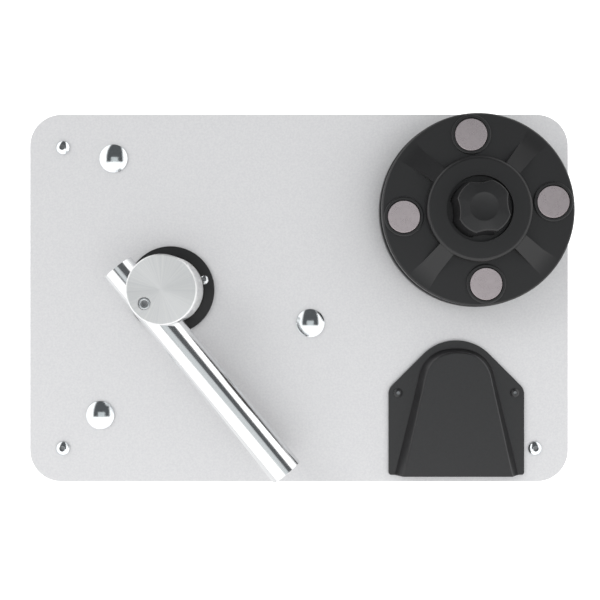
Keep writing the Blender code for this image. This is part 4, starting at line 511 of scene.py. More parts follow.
def add(tree, kind, inputs=None, **settings):
    """A node with its settings, values and links; a node that is given as a value links its first output."""
    made = tree.nodes.new("ShaderNode" + kind)
    for key, value in settings.items():
        setattr(made, key, value)
    for key, value in (inputs or {}).items():
        if isinstance(value, bpy.types.Node):
            value = value.outputs[0]
        if isinstance(value, bpy.types.NodeSocket):
            tree.links.new(value, made.inputs[key])
        else:
            made.inputs[key].default_value = value
    return made


def from_span(tree, value, low, high):
    """How far the value has come from low to high, as 0 to 1."""
    return add(tree, "MapRange", {"Value": value, "From Min": low, "From Max": high})


def to_span(tree, value, low, high):
    """A value of 0 to 1, spread from low to high."""
    return add(tree, "MapRange", {"Value": value, "To Min": low, "To Max": high})


def mixed(tree, share, first, second):
    return add(tree, "MixRGB", {"Fac": share, "Color1": first, "Color2": second})


def toned(tree, value, span, codes):
    """A colour that goes from one tone to the other over the value's span."""
    return mixed(tree, from_span(tree, value, *span), linear(codes[0]), linear(codes[1]))


def drive(tree, shader, colour, rough, bump):
    """The three nodes set the surface's colour, roughness and relief."""
    for node, socket in ((colour, "Base Color"), (rough, "Roughness"), (bump, "Normal")):
        tree.links.new(node.outputs[0], shader.inputs[socket])


def surface(name, code, roughness, metallic=0.0):
    made = bpy.data.materials.new(name)
    made.use_nodes = True
    shader = made.node_tree.nodes["Principled BSDF"]
    shader.inputs["Base Color"].default_value = linear(code)
    shader.inputs["Roughness"].default_value = roughness
    shader.inputs["Metallic"].default_value = metallic
    return made, made.node_tree, shader


# Plain surfaces: two tones, roughness from and to, metallic value, grain size and relief in mm, detail
PLAIN = {
    # Bead-blasted, clear anodised aluminium sheet: pale and satin, with a fine even grit
    "blasted_anodised_sheet": ("D3D3D5", "DBDBDC", 0.42, 0.55, 0.35, 1.1, 0.012, 3),
    # The case's extruded aluminium, blasted like the sheet and a little darker
    "blasted_extrusion": ("C6C7C9", "CFCFD1", 0.42, 0.55, 0.4, 1.1, 0.012, 3),
    # Black powder coat on steel: an even satin black with a soft orange peel
    "black_powder_coat": ("222223", "262627", 0.26, 0.34, 0, 0.8, 0.004, 2),
    # The column's flange: a darker copy of the black steel, darker as painted shade, and smoother than powder coat
    "black_steel_painted_shade": ("111112", "151516", 0.3, 0.4, 0, 0.5, 0.002, 2),
    # Black ABS from a finely eroded mould: dark grey where light grazes it
    "moulded_black_abs": ("161617", "1B1B1C", 0.36, 0.44, 0, 0.45, 0.003, 2),
    # Semi-gloss black polycarbonate of the rockers
    "semi_gloss_polycarbonate": ("161617", "1B1B1C", 0.22, 0.3, 0, 0.6, 0.002, 2),
    # Bright zinc plating on steel: mirror-like with faint cloudy marks and tiny pits
    "bright_zinc_plate": ("D6DADC", "E4E8EA", 0.06, 0.16, 1, 0.5, 0.03, 4),
    # Zinc-plated sheet steel with a cloudy, slightly rougher skin
    "zinc_plated_sheet": ("A4A7AA", "B4B7B9", 0.3, 0.42, 1, 6, 0.02, 4),
    # Bright steel off the lathe, with a short soft shine
    "turned_bright_steel": ("C4C6C8", "D2D4D6", 0.14, 0.24, 1, 0.5, 0.003, 2),
    # Drawn steel motor can, dull and faintly clouded
    "drawn_steel_can": ("8D9093", "9CA0A3", 0.3, 0.4, 1, 4, 0.01, 2),
    # The broached inside of a screw's socket: dull steel, and its dark grey is painted shade in the recess
    "socket_steel_painted_shade": ("828486", "949698", 0.4, 0.5, 1, 0.4, 0.01, 2),
    # The fan's cast aluminium, with a coarse grain
    "cast_aluminium": ("B9BBBD", "C8CACC", 0.35, 0.5, 1, 1.2, 0.03, 3),
    # Sintered bronze of the plain bearing, with its open grain
    "sintered_bronze": ("9A763F", "B38B50", 0.35, 0.5, 1, 0.35, 0.02, 2),
    # Natural bearing plastic, ivory and waxy
    "natural_bearing_plastic": ("D6D0BE", "DDD7C6", 0.38, 0.45, 0, 1.5, 0.004, 2),
    # White acetal of the moulded drive gear, smooth and slightly waxy
    "white_acetal": ("E2DFD6", "E9E6DD", 0.3, 0.4, 0, 1.5, 0.004, 2),
    # Milky polyethylene of the blow-moulded tank: waxy, and light sinks into it
    "milky_polyethylene": ("DDE2E0", "E8ECEA", 0.4, 0.5, 0, 9, 0.05, 2),
    # Black rubber: no shine, and a faint bloom
    "black_rubber": ("191919", "232323", 0.75, 0.9, 0, 1.2, 0.02, 3),
    # Short black velvet on the suction pad: its pile glows along the edges
    "short_pile_velvet": ("121214", "202024", 0.9, 1, 0, 0.4, 0.12, 2),
    # Green solder mask over glass fibre, half glossy
    "green_circuit_board": ("24543A", "2E6A47", 0.25, 0.4, 0, 1.5, 0.004, 2),
}


def plain(name, extra=None):
    """A surface of two close tones and a fine relief, both from one noise; extra sets more sockets."""
    first, second, smooth, dull, metallic, size, relief, detail = PLAIN[name]
    made, tree, shader = surface(name, first, smooth, metallic)
    coords = add(tree, "TexCoord").outputs["Object"]
    grain = {"Vector": coords, "Scale": 1 / (size * MM), "Detail": detail, "Roughness": 0.65}
    noise = add(tree, "TexNoise", grain)
    colour = toned(tree, noise, (0.35, 0.65), (first, second))
    rough = to_span(tree, noise, smooth, dull)
    bump = add(tree, "Bump", {"Height": noise, "Strength": 1.0, "Distance": relief * MM})
    drive(tree, shader, colour, rough, bump)
    for socket, value in (extra or {}).items():
        shader.inputs[socket].default_value = value
    return made


def clear_plastic():
    """Clear flexible tube: it bends what lies behind it and is faintly milky."""
    made, tree, shader = surface("clear_soft_plastic", "EEF2F2", 0.08)
    coords = add(tree, "TexCoord").outputs["Object"]
    noise = add(tree, "TexNoise", {"Vector": coords, "Scale": 1 / (3 * MM)})
    rough = to_span(tree, noise, 0.05, 0.2)
    tree.links.new(rough.outputs[0], shader.inputs["Roughness"])
    shader.inputs["Transmission Weight"].default_value = 0.85
    shader.inputs["IOR"].default_value = 1.42
    return made


def nickel_face():
    """Satin nickel on the magnets: pinkish grey, clouded by handling."""
    made, tree, shader = surface("satin_nickel", "B5AEAE", 0.3, 1.0)
    coords = add(tree, "TexCoord").outputs["Object"]
    cloud = {"Vector": coords, "Scale": 1 / (3.5 * MM), "Detail": 5, "Roughness": 0.7}
    clouds = add(tree, "TexNoise", cloud)
    grit = add(tree, "TexNoise", {"Vector": coords, "Scale": 1 / (0.5 * MM), "Detail": 2})
    both = mixed(tree, 0.4, clouds, grit)
    colour = toned(tree, both, (0.35, 0.65), ("BEB3B5", "CBC0C2"))
    rough = to_span(tree, both, 0.24, 0.32)
    bump = add(tree, "Bump", {"Height": grit, "Strength": 1.0, "Distance": 0.0015 * MM})
    drive(tree, shader, colour, rough, bump)
    return made


def spun_aluminium():
    """Turned and clear anodised aluminium: fine rings round the hub's axis fan the light out into rays, and
    lighter rays painted into its colour add a painted highlight.
    """
    made, tree, shader = surface("spun_aluminium", "DCDDDE", 0.3, 1.0)
    coords = add(tree, "TexCoord").outputs["Object"]
    centred = add(tree, "Mapping", {"Vector": coords, "Location": (-HUB.x, -HUB.y, 0)})
    flat = add(tree, "VectorMath", {0: centred, 1: (1, 1, 0)}, operation="MULTIPLY")
    radius = add(tree, "VectorMath", {0: flat}, operation="LENGTH")
    parts = add(tree, "SeparateXYZ", {0: flat})
    angle = add(tree, "Math", {0: parts.outputs["Y"], 1: parts.outputs["X"]}, operation="ARCTAN2")
    # Lighter and darker rays round the axis, painted into the colour: painted highlight
    rays = {"W": angle, "Scale": 9, "Detail": 5, "Roughness": 0.8}
    painted_highlight_rays = add(tree, "TexNoise", rays, noise_dimensions="1D")
    rings = {"W": radius.outputs["Value"], "Scale": 1 / (0.3 * MM), "Detail": 3, "Roughness": 0.8}
    grooves = add(tree, "TexNoise", rings, noise_dimensions="1D")
    colour = toned(tree, painted_highlight_rays, (0.25, 0.75), ("E4E5E6", "F4F4F3"))
    rough = to_span(tree, grooves, 0.36, 0.5)
    bump = add(tree, "Bump", {"Height": grooves, "Strength": 0.5, "Distance": 0.002 * MM})
    outward = {"Vector": add(tree, "VectorMath", {0: flat}, operation="NORMALIZE")}
    tangent = add(tree, "VectorTransform", outward, convert_from="OBJECT", convert_to="WORLD")
    drive(tree, shader, colour, rough, bump)
    tree.links.new(tangent.outputs[0], shader.inputs["Tangent"])
    shader.inputs["Anisotropic"].default_value = 0.7
    return made


def polished_aluminium():
    """Polished aluminium tube with faint drawing lines along it."""
    made, tree, shader = surface("polished_aluminium", "E6E7E8", 0.12, 1.0)
    coords = add(tree, "TexCoord").outputs["Object"]
    along = add(tree, "Mapping", {"Vector": coords, "Rotation": (0, 0, -TUBE_HEADING)})
    drawn = add(tree, "VectorMath", {0: along, 1: (0.02, 1, 1)}, operation="MULTIPLY")
    lines = {"Vector": drawn, "Scale": 1 / (0.5 * MM), "Detail": 3, "Roughness": 0.7}
    noise = add(tree, "TexNoise", lines)
    colour = toned(tree, noise, (0.3, 0.7), ("E2E3E4", "EAEBEC"))
    rough = to_span(tree, noise, 0.08, 0.2)
    bump = add(tree, "Bump", {"Height": noise, "Strength": 0.5, "Distance": 0.002 * MM})
    drive(tree, shader, colour, rough, bump)
    return made


MILKY = {"Subsurface Weight": 0.3, "Subsurface Radius": (4 * MM, 4 * MM, 3 * MM)}
PILE = {"Sheen Weight": 0.6, "Sheen Roughness": 0.4}
FINISHES = {
    "plate_aluminium": plain("blasted_anodised_sheet"),
    "case_aluminium": plain("blasted_extrusion"),
    "rear_panel_black": plain("black_powder_coat"),
    "base_steel": plain("zinc_plated_sheet"),
    "zinc_steel": plain("bright_zinc_plate"),
    "screw_steel": plain("turned_bright_steel"),
    "black_steel": plain("black_powder_coat"),
    "turned_aluminium": spun_aluminium(),
    "polished_aluminium": polished_aluminium(),
    "fan_aluminium": plain("cast_aluminium"),
    "clamp_plastic": plain("moulded_black_abs"),
    "magnet_nickel": nickel_face(),
    "bearing_bronze": plain("sintered_bronze"),
    "motor_steel": plain("drawn_steel_can"),
    "bush_plastic": plain("natural_bearing_plastic"),
    "gear_plastic": plain("white_acetal"),
    "tank_plastic": plain("milky_polyethylene", MILKY),
    "black_rubber": plain("black_rubber"),
    "velvet_pad": plain("short_pile_velvet", PILE),
    "black_plastic": plain("moulded_black_abs"),
    "rocker_plastic": plain("semi_gloss_polycarbonate"),
    "clear_tube": clear_plastic(),
    "board_green": plain("green_circuit_board"),
}
# Dull steel for the insides of sockets; its dark grey is painted shade
SOCKET_SHADE_STEEL = plain("socket_steel_painted_shade")


def shade_socket_inside(screw, slot, place, radius, top):
    """The faces inside a screw's socket get the dull finish, whose dark grey is painted shade in the recess."""
    screw.data.materials.append(FINISHES[slot])
    screw.data.materials.append(SOCKET_SHADE_STEEL)
    for face in screw.data.polygons:
        reach = math.hypot(face.center.x - place[0], face.center.y - place[1])
        if reach < radius and top - SOCKET_DEEPEST < face.center.z < top - SOCKET_LIP:
            face.material_index = 1


def finish_nodes():
    """Every solid gets its finish, also those that stay hidden inside."""
    for part in frame["record"]["subparts"]:
        node = frame["nodes"][part["node"]]
        node.data.materials.clear()
        node.data.materials.append(FINISHES[part["material_slot"]])


def make_top_plate():
    plate = boxed("top_plate_sheet", PLATE_LOW, PLATE_HIGH)
    round_edges(plate, upright, PLATE_CORNER, PLATE_STEPS)
    low = PLATE_LOW.z - OVERRUN
    high = PLATE_TOP + OVERRUN
    column_hole = drum("column_hole", COLUMN_RADIUS + GAP, low, high, HUB)
    bearing_hole = drum("bearing_hole", SHAFT_RADIUS + BEARING_WALL, low, high, SPINDLE)
    duct_hole = drum("duct_hole", DUCT_BORE, low, high, DUCT_PLACE)
    carve(plate, column_hole, bearing_hole, duct_hole)
    soften(plate, SHEET_EDGE)
    dress(plate, "base", "plate_aluminium", "top_plate")


def make_case():
    low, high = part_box("case_body")
    case = boxed("case_shell", low, high)
    round_edges(case, upright, CASE_CORNER, CASE_STEPS)
    below = low.z - OVERRUN
    above = high.z + OVERRUN
    x = high.x
    y = high.y
    wide = boxed("wide", (-x + CASE_WALL, -y + POST_SIDE, below), (x - CASE_WALL, y - POST_SIDE, above))
    deep = boxed("deep", (-x + POST_SIDE, -y + CASE_WALL, below), (x - POST_SIDE, y + OVERRUN, above))
    panel_low, panel_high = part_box("rear_panel")
    groove = x - POST_SIDE + GROOVE_DEPTH
    front = panel_low.y - GAP
    back = panel_high.y + GAP
    grooves = boxed("grooves", (-groove, front, below), (groove, back, above))
    carve(case, wide, deep, grooves, *vent_cutters(low.z), switch_cutter(low.y))
    soften(case, CASE_EDGE, 2)
    dress(case, "base", "case_aluminium", "case_body")


def vent_cutters(case_bottom):
    """The row of slots in the right side."""
    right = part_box("case_body")[1].x
    first = -VENT_PITCH * (VENT_COUNT - 1) / 2
    middle = case_bottom + VENT_RISE
    cutters = []
    for index in range(VENT_COUNT):
        y = first + VENT_PITCH * index
        low = (right - POST_SIDE, y - VENT_WIDTH / 2, middle - VENT_LENGTH / 2)
        high = (right + OVERRUN, y + VENT_WIDTH / 2, middle + VENT_LENGTH / 2)
        slot = boxed("vent_cutter", low, high)
        round_edges(slot, sideways, VENT_WIDTH * FULL_ROUND, CORNER_STEPS)
        cutters.append(slot)
    return cutters


def switch_cutter(front):
    """The window for the two switches, a little inside the housing's rim."""
    low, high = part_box("switch_housing")
    rim = Vector((SWITCH_WINDOW_RIM, 0, SWITCH_WINDOW_RIM))
    low = low + rim
    high = high - rim
    return boxed("switch_cutter", (low.x, front - OVERRUN, low.z), (high.x, front + POST_SIDE, high.z))


def make_feet():
    for name in ("foot_front", "foot_rear"):
        low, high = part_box(name)
        rail = boxed(name + "_rail", low, (high.x, high.y, FOOT_HEIGHT))
        width = high.y - low.y
        round_edges(rail, upright, width * FULL_ROUND, CASE_STEPS)
        soften(rail, FOOT_EDGE, 4)
        middle = (low.y + high.y) / 2
        for x in (low.x + POST_SIDE / 2, high.x - POST_SIDE / 2):
            stud = drum("stud", FOOT_STUD_RADIUS, FOOT_HEIGHT / 2, high.z, (x, middle), STUD_FACETS)
            weld(rail, stud)
        dress(rail, "base", "black_rubber", name)


def make_screw(name, sizes, length, place, underside, slot):
    """A button-head screw with a hexagon socket."""
    radius, head_radius, head_height, socket_radius, socket_depth = sizes
    rim = head_height * HEAD_RIM_SHARE
    rise = head_height - rim
    dome = (head_radius**2 + rise**2) / (2 * rise)
    spread = math.degrees(math.asin(head_radius / dome))
    centre = underside + head_height - dome
    profile = arc_profile(0, centre, dome, 90 - spread * HEAD_FLAT_SHARE, 90 - spread, HEAD_STEPS)
    profile += [(head_radius, underside), (radius, underside), (radius, underside - length)]
    screw = turned(name, profile, place, SCREW_FACETS)
    top = underside + head_height
    socket = drum("socket", socket_radius, top - socket_depth, top + OVERRUN, place, HEXAGON)
    carve(screw, socket)
    soften(screw, SCREW_EDGE, 2)
    shade_socket_inside(screw, slot, place, socket_radius, top)
    return screw


def middle_of(node):
    low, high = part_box(node)
    return (low + high) / 2


def make_screws():
    flange_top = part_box("column_flange")[1].z
    rows = (
        ("plate_screw", 4, M4_SCREW, M4_LENGTH, PLATE_TOP + GAP, "zinc_steel"),
        ("flange_screw", 3, M3_SCREW, M3_LENGTH, flange_top + GAP, "screw_steel"),
        ("hood_screw", 2, M3_SCREW, M3_LENGTH, None, "black_steel"),
    )
    for kind, count, sizes, length, seat, slot in rows:
        for index in range(1, count + 1):
            node = f"{kind}_{index}"
            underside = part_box(node)[1].z - sizes[2] if seat is None else seat
            screw = make_screw(f"{kind}_head_{index}", sizes, length, middle_of(node), underside, slot)
            dress(screw, "base", slot, node)


def make_tank_bolts():
    """Three long bolts with smooth domed heads."""
    rise = DOME_HEIGHT - DOME_EDGE
    dome = (DOME_RADIUS**2 + rise**2) / (2 * rise)
    spread = math.degrees(math.asin(DOME_RADIUS / dome))
    for index in range(1, 4):
        node = f"tank_bolt_{index}"
        low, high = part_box(node)
        underside = high.z - DOME_HEIGHT
        start = 90 - spread * DOME_FLAT_SHARE
        profile = arc_profile(0, high.z - dome, dome, start, 90 - spread, DOME_STEPS)
        profile += [(DOME_RADIUS, underside), (BOLT_RADIUS, underside), (BOLT_RADIUS, low.z)]
        bolt = turned(f"tank_bolt_dome_{index}", profile, middle_of(node), DOME_FACETS)
        dress(bolt, "base", "zinc_steel", node)


def make_column():
    low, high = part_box("column_flange")
    inner = COLUMN_RADIUS + GAP
    flange = sleeve("column_flange_disc", FLANGE_RADIUS, inner, low.z, high.z, HUB)
    soften(flange, SHEET_EDGE)
    # A darker copy of the black steel: painted shade on the flange
    flange.data.materials.append(plain("black_steel_painted_shade"))
    dress(flange, "base", "black_steel", "column_flange")
    low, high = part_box("arm_column")
    column = soften(sleeve("arm_column_tube", COLUMN_RADIUS, COLUMN_BORE, low.z, high.z, HUB), CUT_EDGE)
    foot_top = PLATE_LOW.z - GAP
    join(column, sleeve("column_foot", COLUMN_FOOT_RADIUS, COLUMN_RADIUS, low.z, foot_top, HUB))
    dress(column, "base", "screw_steel", "arm_column")
    low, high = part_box("swivel_bush")
    collar_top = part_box("arm_hub")[0].z - GAP
    outer = HUB_BORE - GAP
    profile = [
        (outer, high.z),
        (outer, collar_top),
        (BUSH_COLLAR_RADIUS, collar_top),
        (BUSH_COLLAR_RADIUS, low.z),
        (inner, low.z),
        (inner, high.z),
    ]
    bush = soften(turned("swivel_bush_sleeve", profile, HUB, hollow=True), THIN_EDGE)
    dress(bush, "swivel", "bush_plastic", "swivel_bush")


def lying_tube(name, radius, start, end, height, sides=FINE):
    """A rod along the arm's tube, in the arm's own frame."""
    rod = drum(name, radius, start, end, (0, 0), sides)
    return placed(rod, 0, -TUBE_OFFSET, height, (0, math.pi / 2, 0))


def make_arm():
    low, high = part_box("arm_hub")
    top = high.z
    tube_z = top - TUBE_UNDER_HUB_TOP
    cavity = top - HUB_CAVITY
    profile = [
        (HUB_RADIUS - HUB_CHAMFER, top),
        (HUB_RADIUS, top - HUB_CHAMFER),
        (HUB_RADIUS, low.z),
        (HUB_BORE, low.z),
        (HUB_BORE, cavity),
    ]
    hub = turned("arm_hub_drum", profile, sides=FINEST)
    seat = lying_tube("tube_seat", TUBE_RADIUS + GAP, -TUBE_BEHIND - SEAT_OVERRUN, TUBE_AHEAD, tube_z)
    floor = top - HUB_SCREW_SEAT
    middle = (0, -TUBE_OFFSET)
    head_seat = drum("head_seat", HUB_SCREW_RADIUS + GAP, floor, top + OVERRUN, middle, SCREW_FACETS)
    carve(hub, seat, head_seat)
    soften(hub, HUB_EDGE, 2)
    dress(on_arm(hub), "arm", "turned_aluminium", "arm_hub")

    tube = lying_tube("arm_tube_pipe", TUBE_RADIUS, -TUBE_BEHIND, TUBE_AHEAD, tube_z)
    bore = lying_tube("tube_bore", TUBE_BORE, -TUBE_BEHIND - OVERRUN, TUBE_AHEAD + OVERRUN, tube_z)
    half = SLOT_WIDTH / 2
    slot_end = TUBE_AHEAD - SLOT_FROM_END
    below = tube_z - TUBE_RADIUS - OVERRUN
    slot = boxed("slot", (SLOT_START, -TUBE_OFFSET - half, below), (slot_end, -TUBE_OFFSET + half, tube_z))
    carve(tube, bore, slot)
    soften(tube, CUT_EDGE)
    dress(on_arm(tube), "arm", "polished_aluminium", "arm_tube")

    for index, face in ((1, TUBE_AHEAD - TUBE_PLUG_RECESS), (2, -TUBE_BEHIND + TUBE_PLUG_RECESS)):
        inward = -TUBE_PLUG_THICKNESS if index == 1 else TUBE_PLUG_THICKNESS
        start, end = sorted((face, face + inward))
        plug = lying_tube(f"tube_end_{index}", TUBE_BORE - GAP, start, end, tube_z)
        dress(on_arm(soften(plug, MOULDED_EDGE)), "arm", "polished_aluminium", f"tube_plug_{index}")

    make_pad(tube_z, slot_end)
    make_hub_screw(top)


def make_pad(tube_z, slot_end):
    """The velvet lips round the tube's slot."""
    half = SLOT_WIDTH / 2
    outer = half + PAD_WIDTH
    bottom = tube_z - TUBE_RADIUS - PAD_DEPTH
    start = SLOT_START - PAD_WIDTH
    end = slot_end + PAD_WIDTH / 2
    pad = boxed("velvet_lips", (start, -TUBE_OFFSET - outer, bottom), (end, -TUBE_OFFSET + outer, tube_z))
    seat = lying_tube("pad_seat", TUBE_RADIUS + GAP, start - OVERRUN, end + OVERRUN, tube_z)
    low = (SLOT_START, -TUBE_OFFSET - half, bottom - OVERRUN)
    opening = boxed("pad_opening", low, (slot_end, -TUBE_OFFSET + half, tube_z))
    carve(pad, seat, opening)
    soften(pad, MOULDED_EDGE)
    dress(on_arm(pad), "arm", "velvet_pad", "suction_pad")


def make_hub_screw(top):
    bottom = top - HUB_SCREW_HEIGHT
    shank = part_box("hub_screw")[0].z
    profile = [
        (HUB_SCREW_RIM, top - HUB_SCREW_DIP),
        (HUB_SCREW_RIM, top),
        (HUB_SCREW_RADIUS, top),
        (HUB_SCREW_RADIUS, bottom),
        (M3_SCREW[0], bottom),
        (M3_SCREW[0], shank),
    ]
    place = (0, -TUBE_OFFSET)
    screw = turned("hub_screw_head", profile, place, ROUND)
    floor = top - HUB_SCREW_HEIGHT * HUB_SCREW_SOCKET_SHARE
    carve(screw, drum("socket", M3_SCREW[3], floor, top + OVERRUN, place, HEXAGON))
    soften(screw, SCREW_EDGE, 2)
    shade_socket_inside(screw, "screw_steel", place, HUB_SCREW_RIM, top)
    dress(on_arm(screw), "arm", "screw_steel", "hub_screw")


def make_platter():
    low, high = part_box("platter")
    disc_bottom = high.z - PLATTER_THICKNESS
    hole = SHAFT_RADIUS + GAP
    profile = [
        (PLATTER_RADIUS, high.z),
        (PLATTER_RADIUS, disc_bottom),
        (PLATTER_HUB_RADIUS, disc_bottom),
        (PLATTER_HUB_RADIUS, low.z),
        (hole, low.z),
        (hole, high.z),
    ]
    platter = soften(turned("platter_disc", profile, SPINDLE, hollow=True), RIM_EDGE)
    dress(platter, "platter", "black_steel", "platter")
    low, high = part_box("platter_mat")
    mat = soften(sleeve("record_mat", MAT_RADIUS, PIN_RADIUS + GAP, low.z, high.z, SPINDLE), CUT_EDGE)
    dress(mat, "platter", "black_rubber", "platter_mat")
    shaft_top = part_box("platter")[1].z
    low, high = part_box("spindle")
    flat = PIN_RADIUS - PIN_ROUNDING
    profile = arc_profile(flat, high.z - PIN_ROUNDING, PIN_ROUNDING, 90, 0, CORNER_STEPS)
    profile += [(PIN_RADIUS, shaft_top), (SHAFT_RADIUS, shaft_top), (SHAFT_RADIUS, low.z)]
    spindle = turned("record_spindle", profile, SPINDLE, ROUND)
    dress(spindle, "platter", "screw_steel", "spindle")


def make_clamp():
    """The clamp's disc with its collar, four ramps and four magnet pockets."""
    seal_low, seal_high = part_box("clamp_seal")
    bottom = seal_high.z + GAP
    top = bottom + CLAMP_THICKNESS
    collar_top = top + COLLAR_HEIGHT
    recess = collar_top - RECESS_DEPTH
    middle = SEAL_INNER - GAP
    hole = PIN_RADIUS + GAP
    flat = COLLAR_RADIUS - COLLAR_CHAMFER
    rounded = arc_profile(flat, collar_top - COLLAR_CHAMFER, COLLAR_CHAMFER, 90, 0, CORNER_STEPS)
    profile = [
        (RECESS_RADIUS, recess),
        (RECESS_RADIUS, collar_top),
        *rounded,
        (COLLAR_RADIUS, top),
        (CLAMP_RADIUS - CLAMP_CHAMFER, top),
        (CLAMP_RADIUS, top - CLAMP_CHAMFER),
        (CLAMP_RADIUS, bottom),
        (middle, bottom),
        (middle, bottom - CLAMP_BOSS_DEPTH),
        (hole, bottom - CLAMP_BOSS_DEPTH),
        (hole, recess),
    ]
    disc = turned("clamp_shell", profile, hollow=True, sides=FINEST)
    inside = bottom + CLAMP_THICKNESS / 2
    weld(disc, *magnet_bosses(inside, top), *ramps(inside, top))
    magnet_low, magnet_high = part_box("clamp_magnet_1")
    floor = magnet_low.z - GAP
    above = magnet_high.z + 2 * OVERRUN
    for place in magnet_places():
        carve(disc, drum("pocket", MAGNET_RADIUS + GAP, floor, above, place, DOME_FACETS))
    soften(disc, MOULDED_EDGE, 4, CLAMP_SHARPEST)
    dress(on_clamp(disc), "clamp", "clamp_plastic", "clamp_disc")

    seal = sleeve("clamp_seal_ring", SEAL_OUTER, SEAL_INNER, seal_low.z, seal_high.z, SPINDLE)
    soften(seal, RIM_EDGE)
    dress(seal, "clamp", "black_rubber", "clamp_seal")

    for index, place in enumerate(magnet_places(), 1):
        name = f"magnet_face_{index}"
        magnet = drum(name, MAGNET_RADIUS, magnet_low.z, magnet_high.z, place, DOME_FACETS)
        soften(magnet, CASE_EDGE)
        dress(on_clamp(magnet), "clamp", "magnet_nickel", f"clamp_magnet_{index}")


def magnet_places():
    turns = [2 * math.pi * index / MAGNET_COUNT for index in range(MAGNET_COUNT)]
    return [(MAGNET_CIRCLE * math.cos(a), MAGNET_CIRCLE * math.sin(a)) for a in turns]


def magnet_bosses(inside, top):
    outer = MAGNET_RADIUS + GAP + MAGNET_RIM
    bosses = []
    for place in magnet_places():
        boss = drum("magnet_boss", outer, inside, top + MAGNET_RIM_HEIGHT, place, DOME_FACETS)
        bosses.append(soften(boss, BOSS_EDGE, 4))
    return bosses


def ramps(inside, top):
    """Four ramps from the collar down to the disc."""
    high = top + COLLAR_HEIGHT - COLLAR_CHAMFER / 2
    start = COLLAR_RADIUS - COLLAR_CHAMFER
    slope = (high - top) / (RAMP_END - COLLAR_RADIUS)
    sections = [
        (start, RAMP_INNER_WIDTH, high),
        (COLLAR_RADIUS, RAMP_INNER_WIDTH, high),
        (RAMP_END + OVERRUN, RAMP_OUTER_WIDTH, top - slope * OVERRUN),
    ]
    made = []
    for index in range(MAGNET_COUNT):
        loops = []
        for reach, width, height in sections:
            half = width / 2
            corners = [(-half, inside), (half, inside), (half, height), (-half, height)]
            loops.append([(reach, y, z) for y, z in corners])
        ramp = skinned("ramp", loops)
        angle = 2 * math.pi * (index + 0.5) / MAGNET_COUNT
        made.append(placed(ramp, 0, 0, 0, (0, 0, angle)))
    return made


def knob_loop(radius, height, depth=KNOB_SCALLOP_DEPTH):
    """The knob's outline at one height: a circle with four hollows for the fingers."""
    hollow_centre = radius - depth + KNOB_SCALLOP_RADIUS
    pitch = 2 * math.pi / KNOB_SCALLOPS
    points = []
    for step in range(FINEST):
        angle = 2 * math.pi * step / FINEST
        away = (angle + pitch / 2) % pitch - pitch / 2
        reach = radius
        across = KNOB_SCALLOP_RADIUS**2 - (hollow_centre * math.sin(away)) ** 2
        if across > 0:
            reach = min(reach, hollow_centre * math.cos(away) - math.sqrt(across))
        points.append((reach * math.cos(angle), reach * math.sin(angle), height))
    return points


def make_knob():
    """A tapered finger knob with four hollows, a crowned top and a shallow dish."""
    low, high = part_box("clamp_knob")
    edge_top = high.z - KNOB_SHOULDER
    loops = [knob_loop(KNOB_RADIUS + KNOB_FLARE, low.z), knob_loop(KNOB_RADIUS, edge_top - KNOB_EDGE)]
    for angle in quarter_turn(KNOB_EDGE_STEPS):
        radius = KNOB_RADIUS - KNOB_EDGE * (1 - math.cos(angle))
        loops.append(knob_loop(radius, edge_top - KNOB_EDGE * (1 - math.sin(angle))))
    loops.append(ring(KNOB_DISH_RADIUS + KNOB_CROWN_RIM, high.z, sides=FINEST))
    loops.append(ring(KNOB_DISH_RADIUS, high.z - KNOB_DISH_LIP, sides=FINEST))
    for step in range(1, KNOB_DISH_STEPS + 1):
        share = 1 - step / (KNOB_DISH_STEPS + 1)
        height = high.z - KNOB_DISH_DEPTH * (1 - share**2) - KNOB_DISH_LIP * share
        loops.append(ring(KNOB_DISH_RADIUS * share, height, sides=FINEST))
    knob = skinned("finger_knob", loops)
    dress(on_clamp(knob), "clamp", "clamp_plastic", "clamp_knob")


def scoop_loop(sizes, height, inset=0.0, front=0.0):
    """One level of the scoop: straight sides that draw in from the mouth, and a rounded rear end."""
    mouth, shoulder, shoulder_depth, depth = sizes
    mouth -= inset
    shoulder -= inset
    depth -= inset
    side = Vector((shoulder - mouth, shoulder_depth, 0)).normalized()
    start = Vector((shoulder, shoulder_depth, height))
    apex = Vector((0, depth, height))
    pull = side * (depth - shoulder_depth) * HOOD_CURVE_SHARE
    across = Vector((shoulder * HOOD_CURVE_SHARE, 0, 0))
    curve = interpolate_bezier(start, start + pull, apex + across, apex, HOOD_CURVE_STEPS)
    corner = Vector((mouth, 0, height)) - side * front
    half = [corner, *curve]
    return half + [Vector((-p.x, p.y, p.z)) for p in reversed(half[:-1])]


def blended(foot, crown, share):
    return [low + (high - low) * share for low, high in zip(foot, crown)]


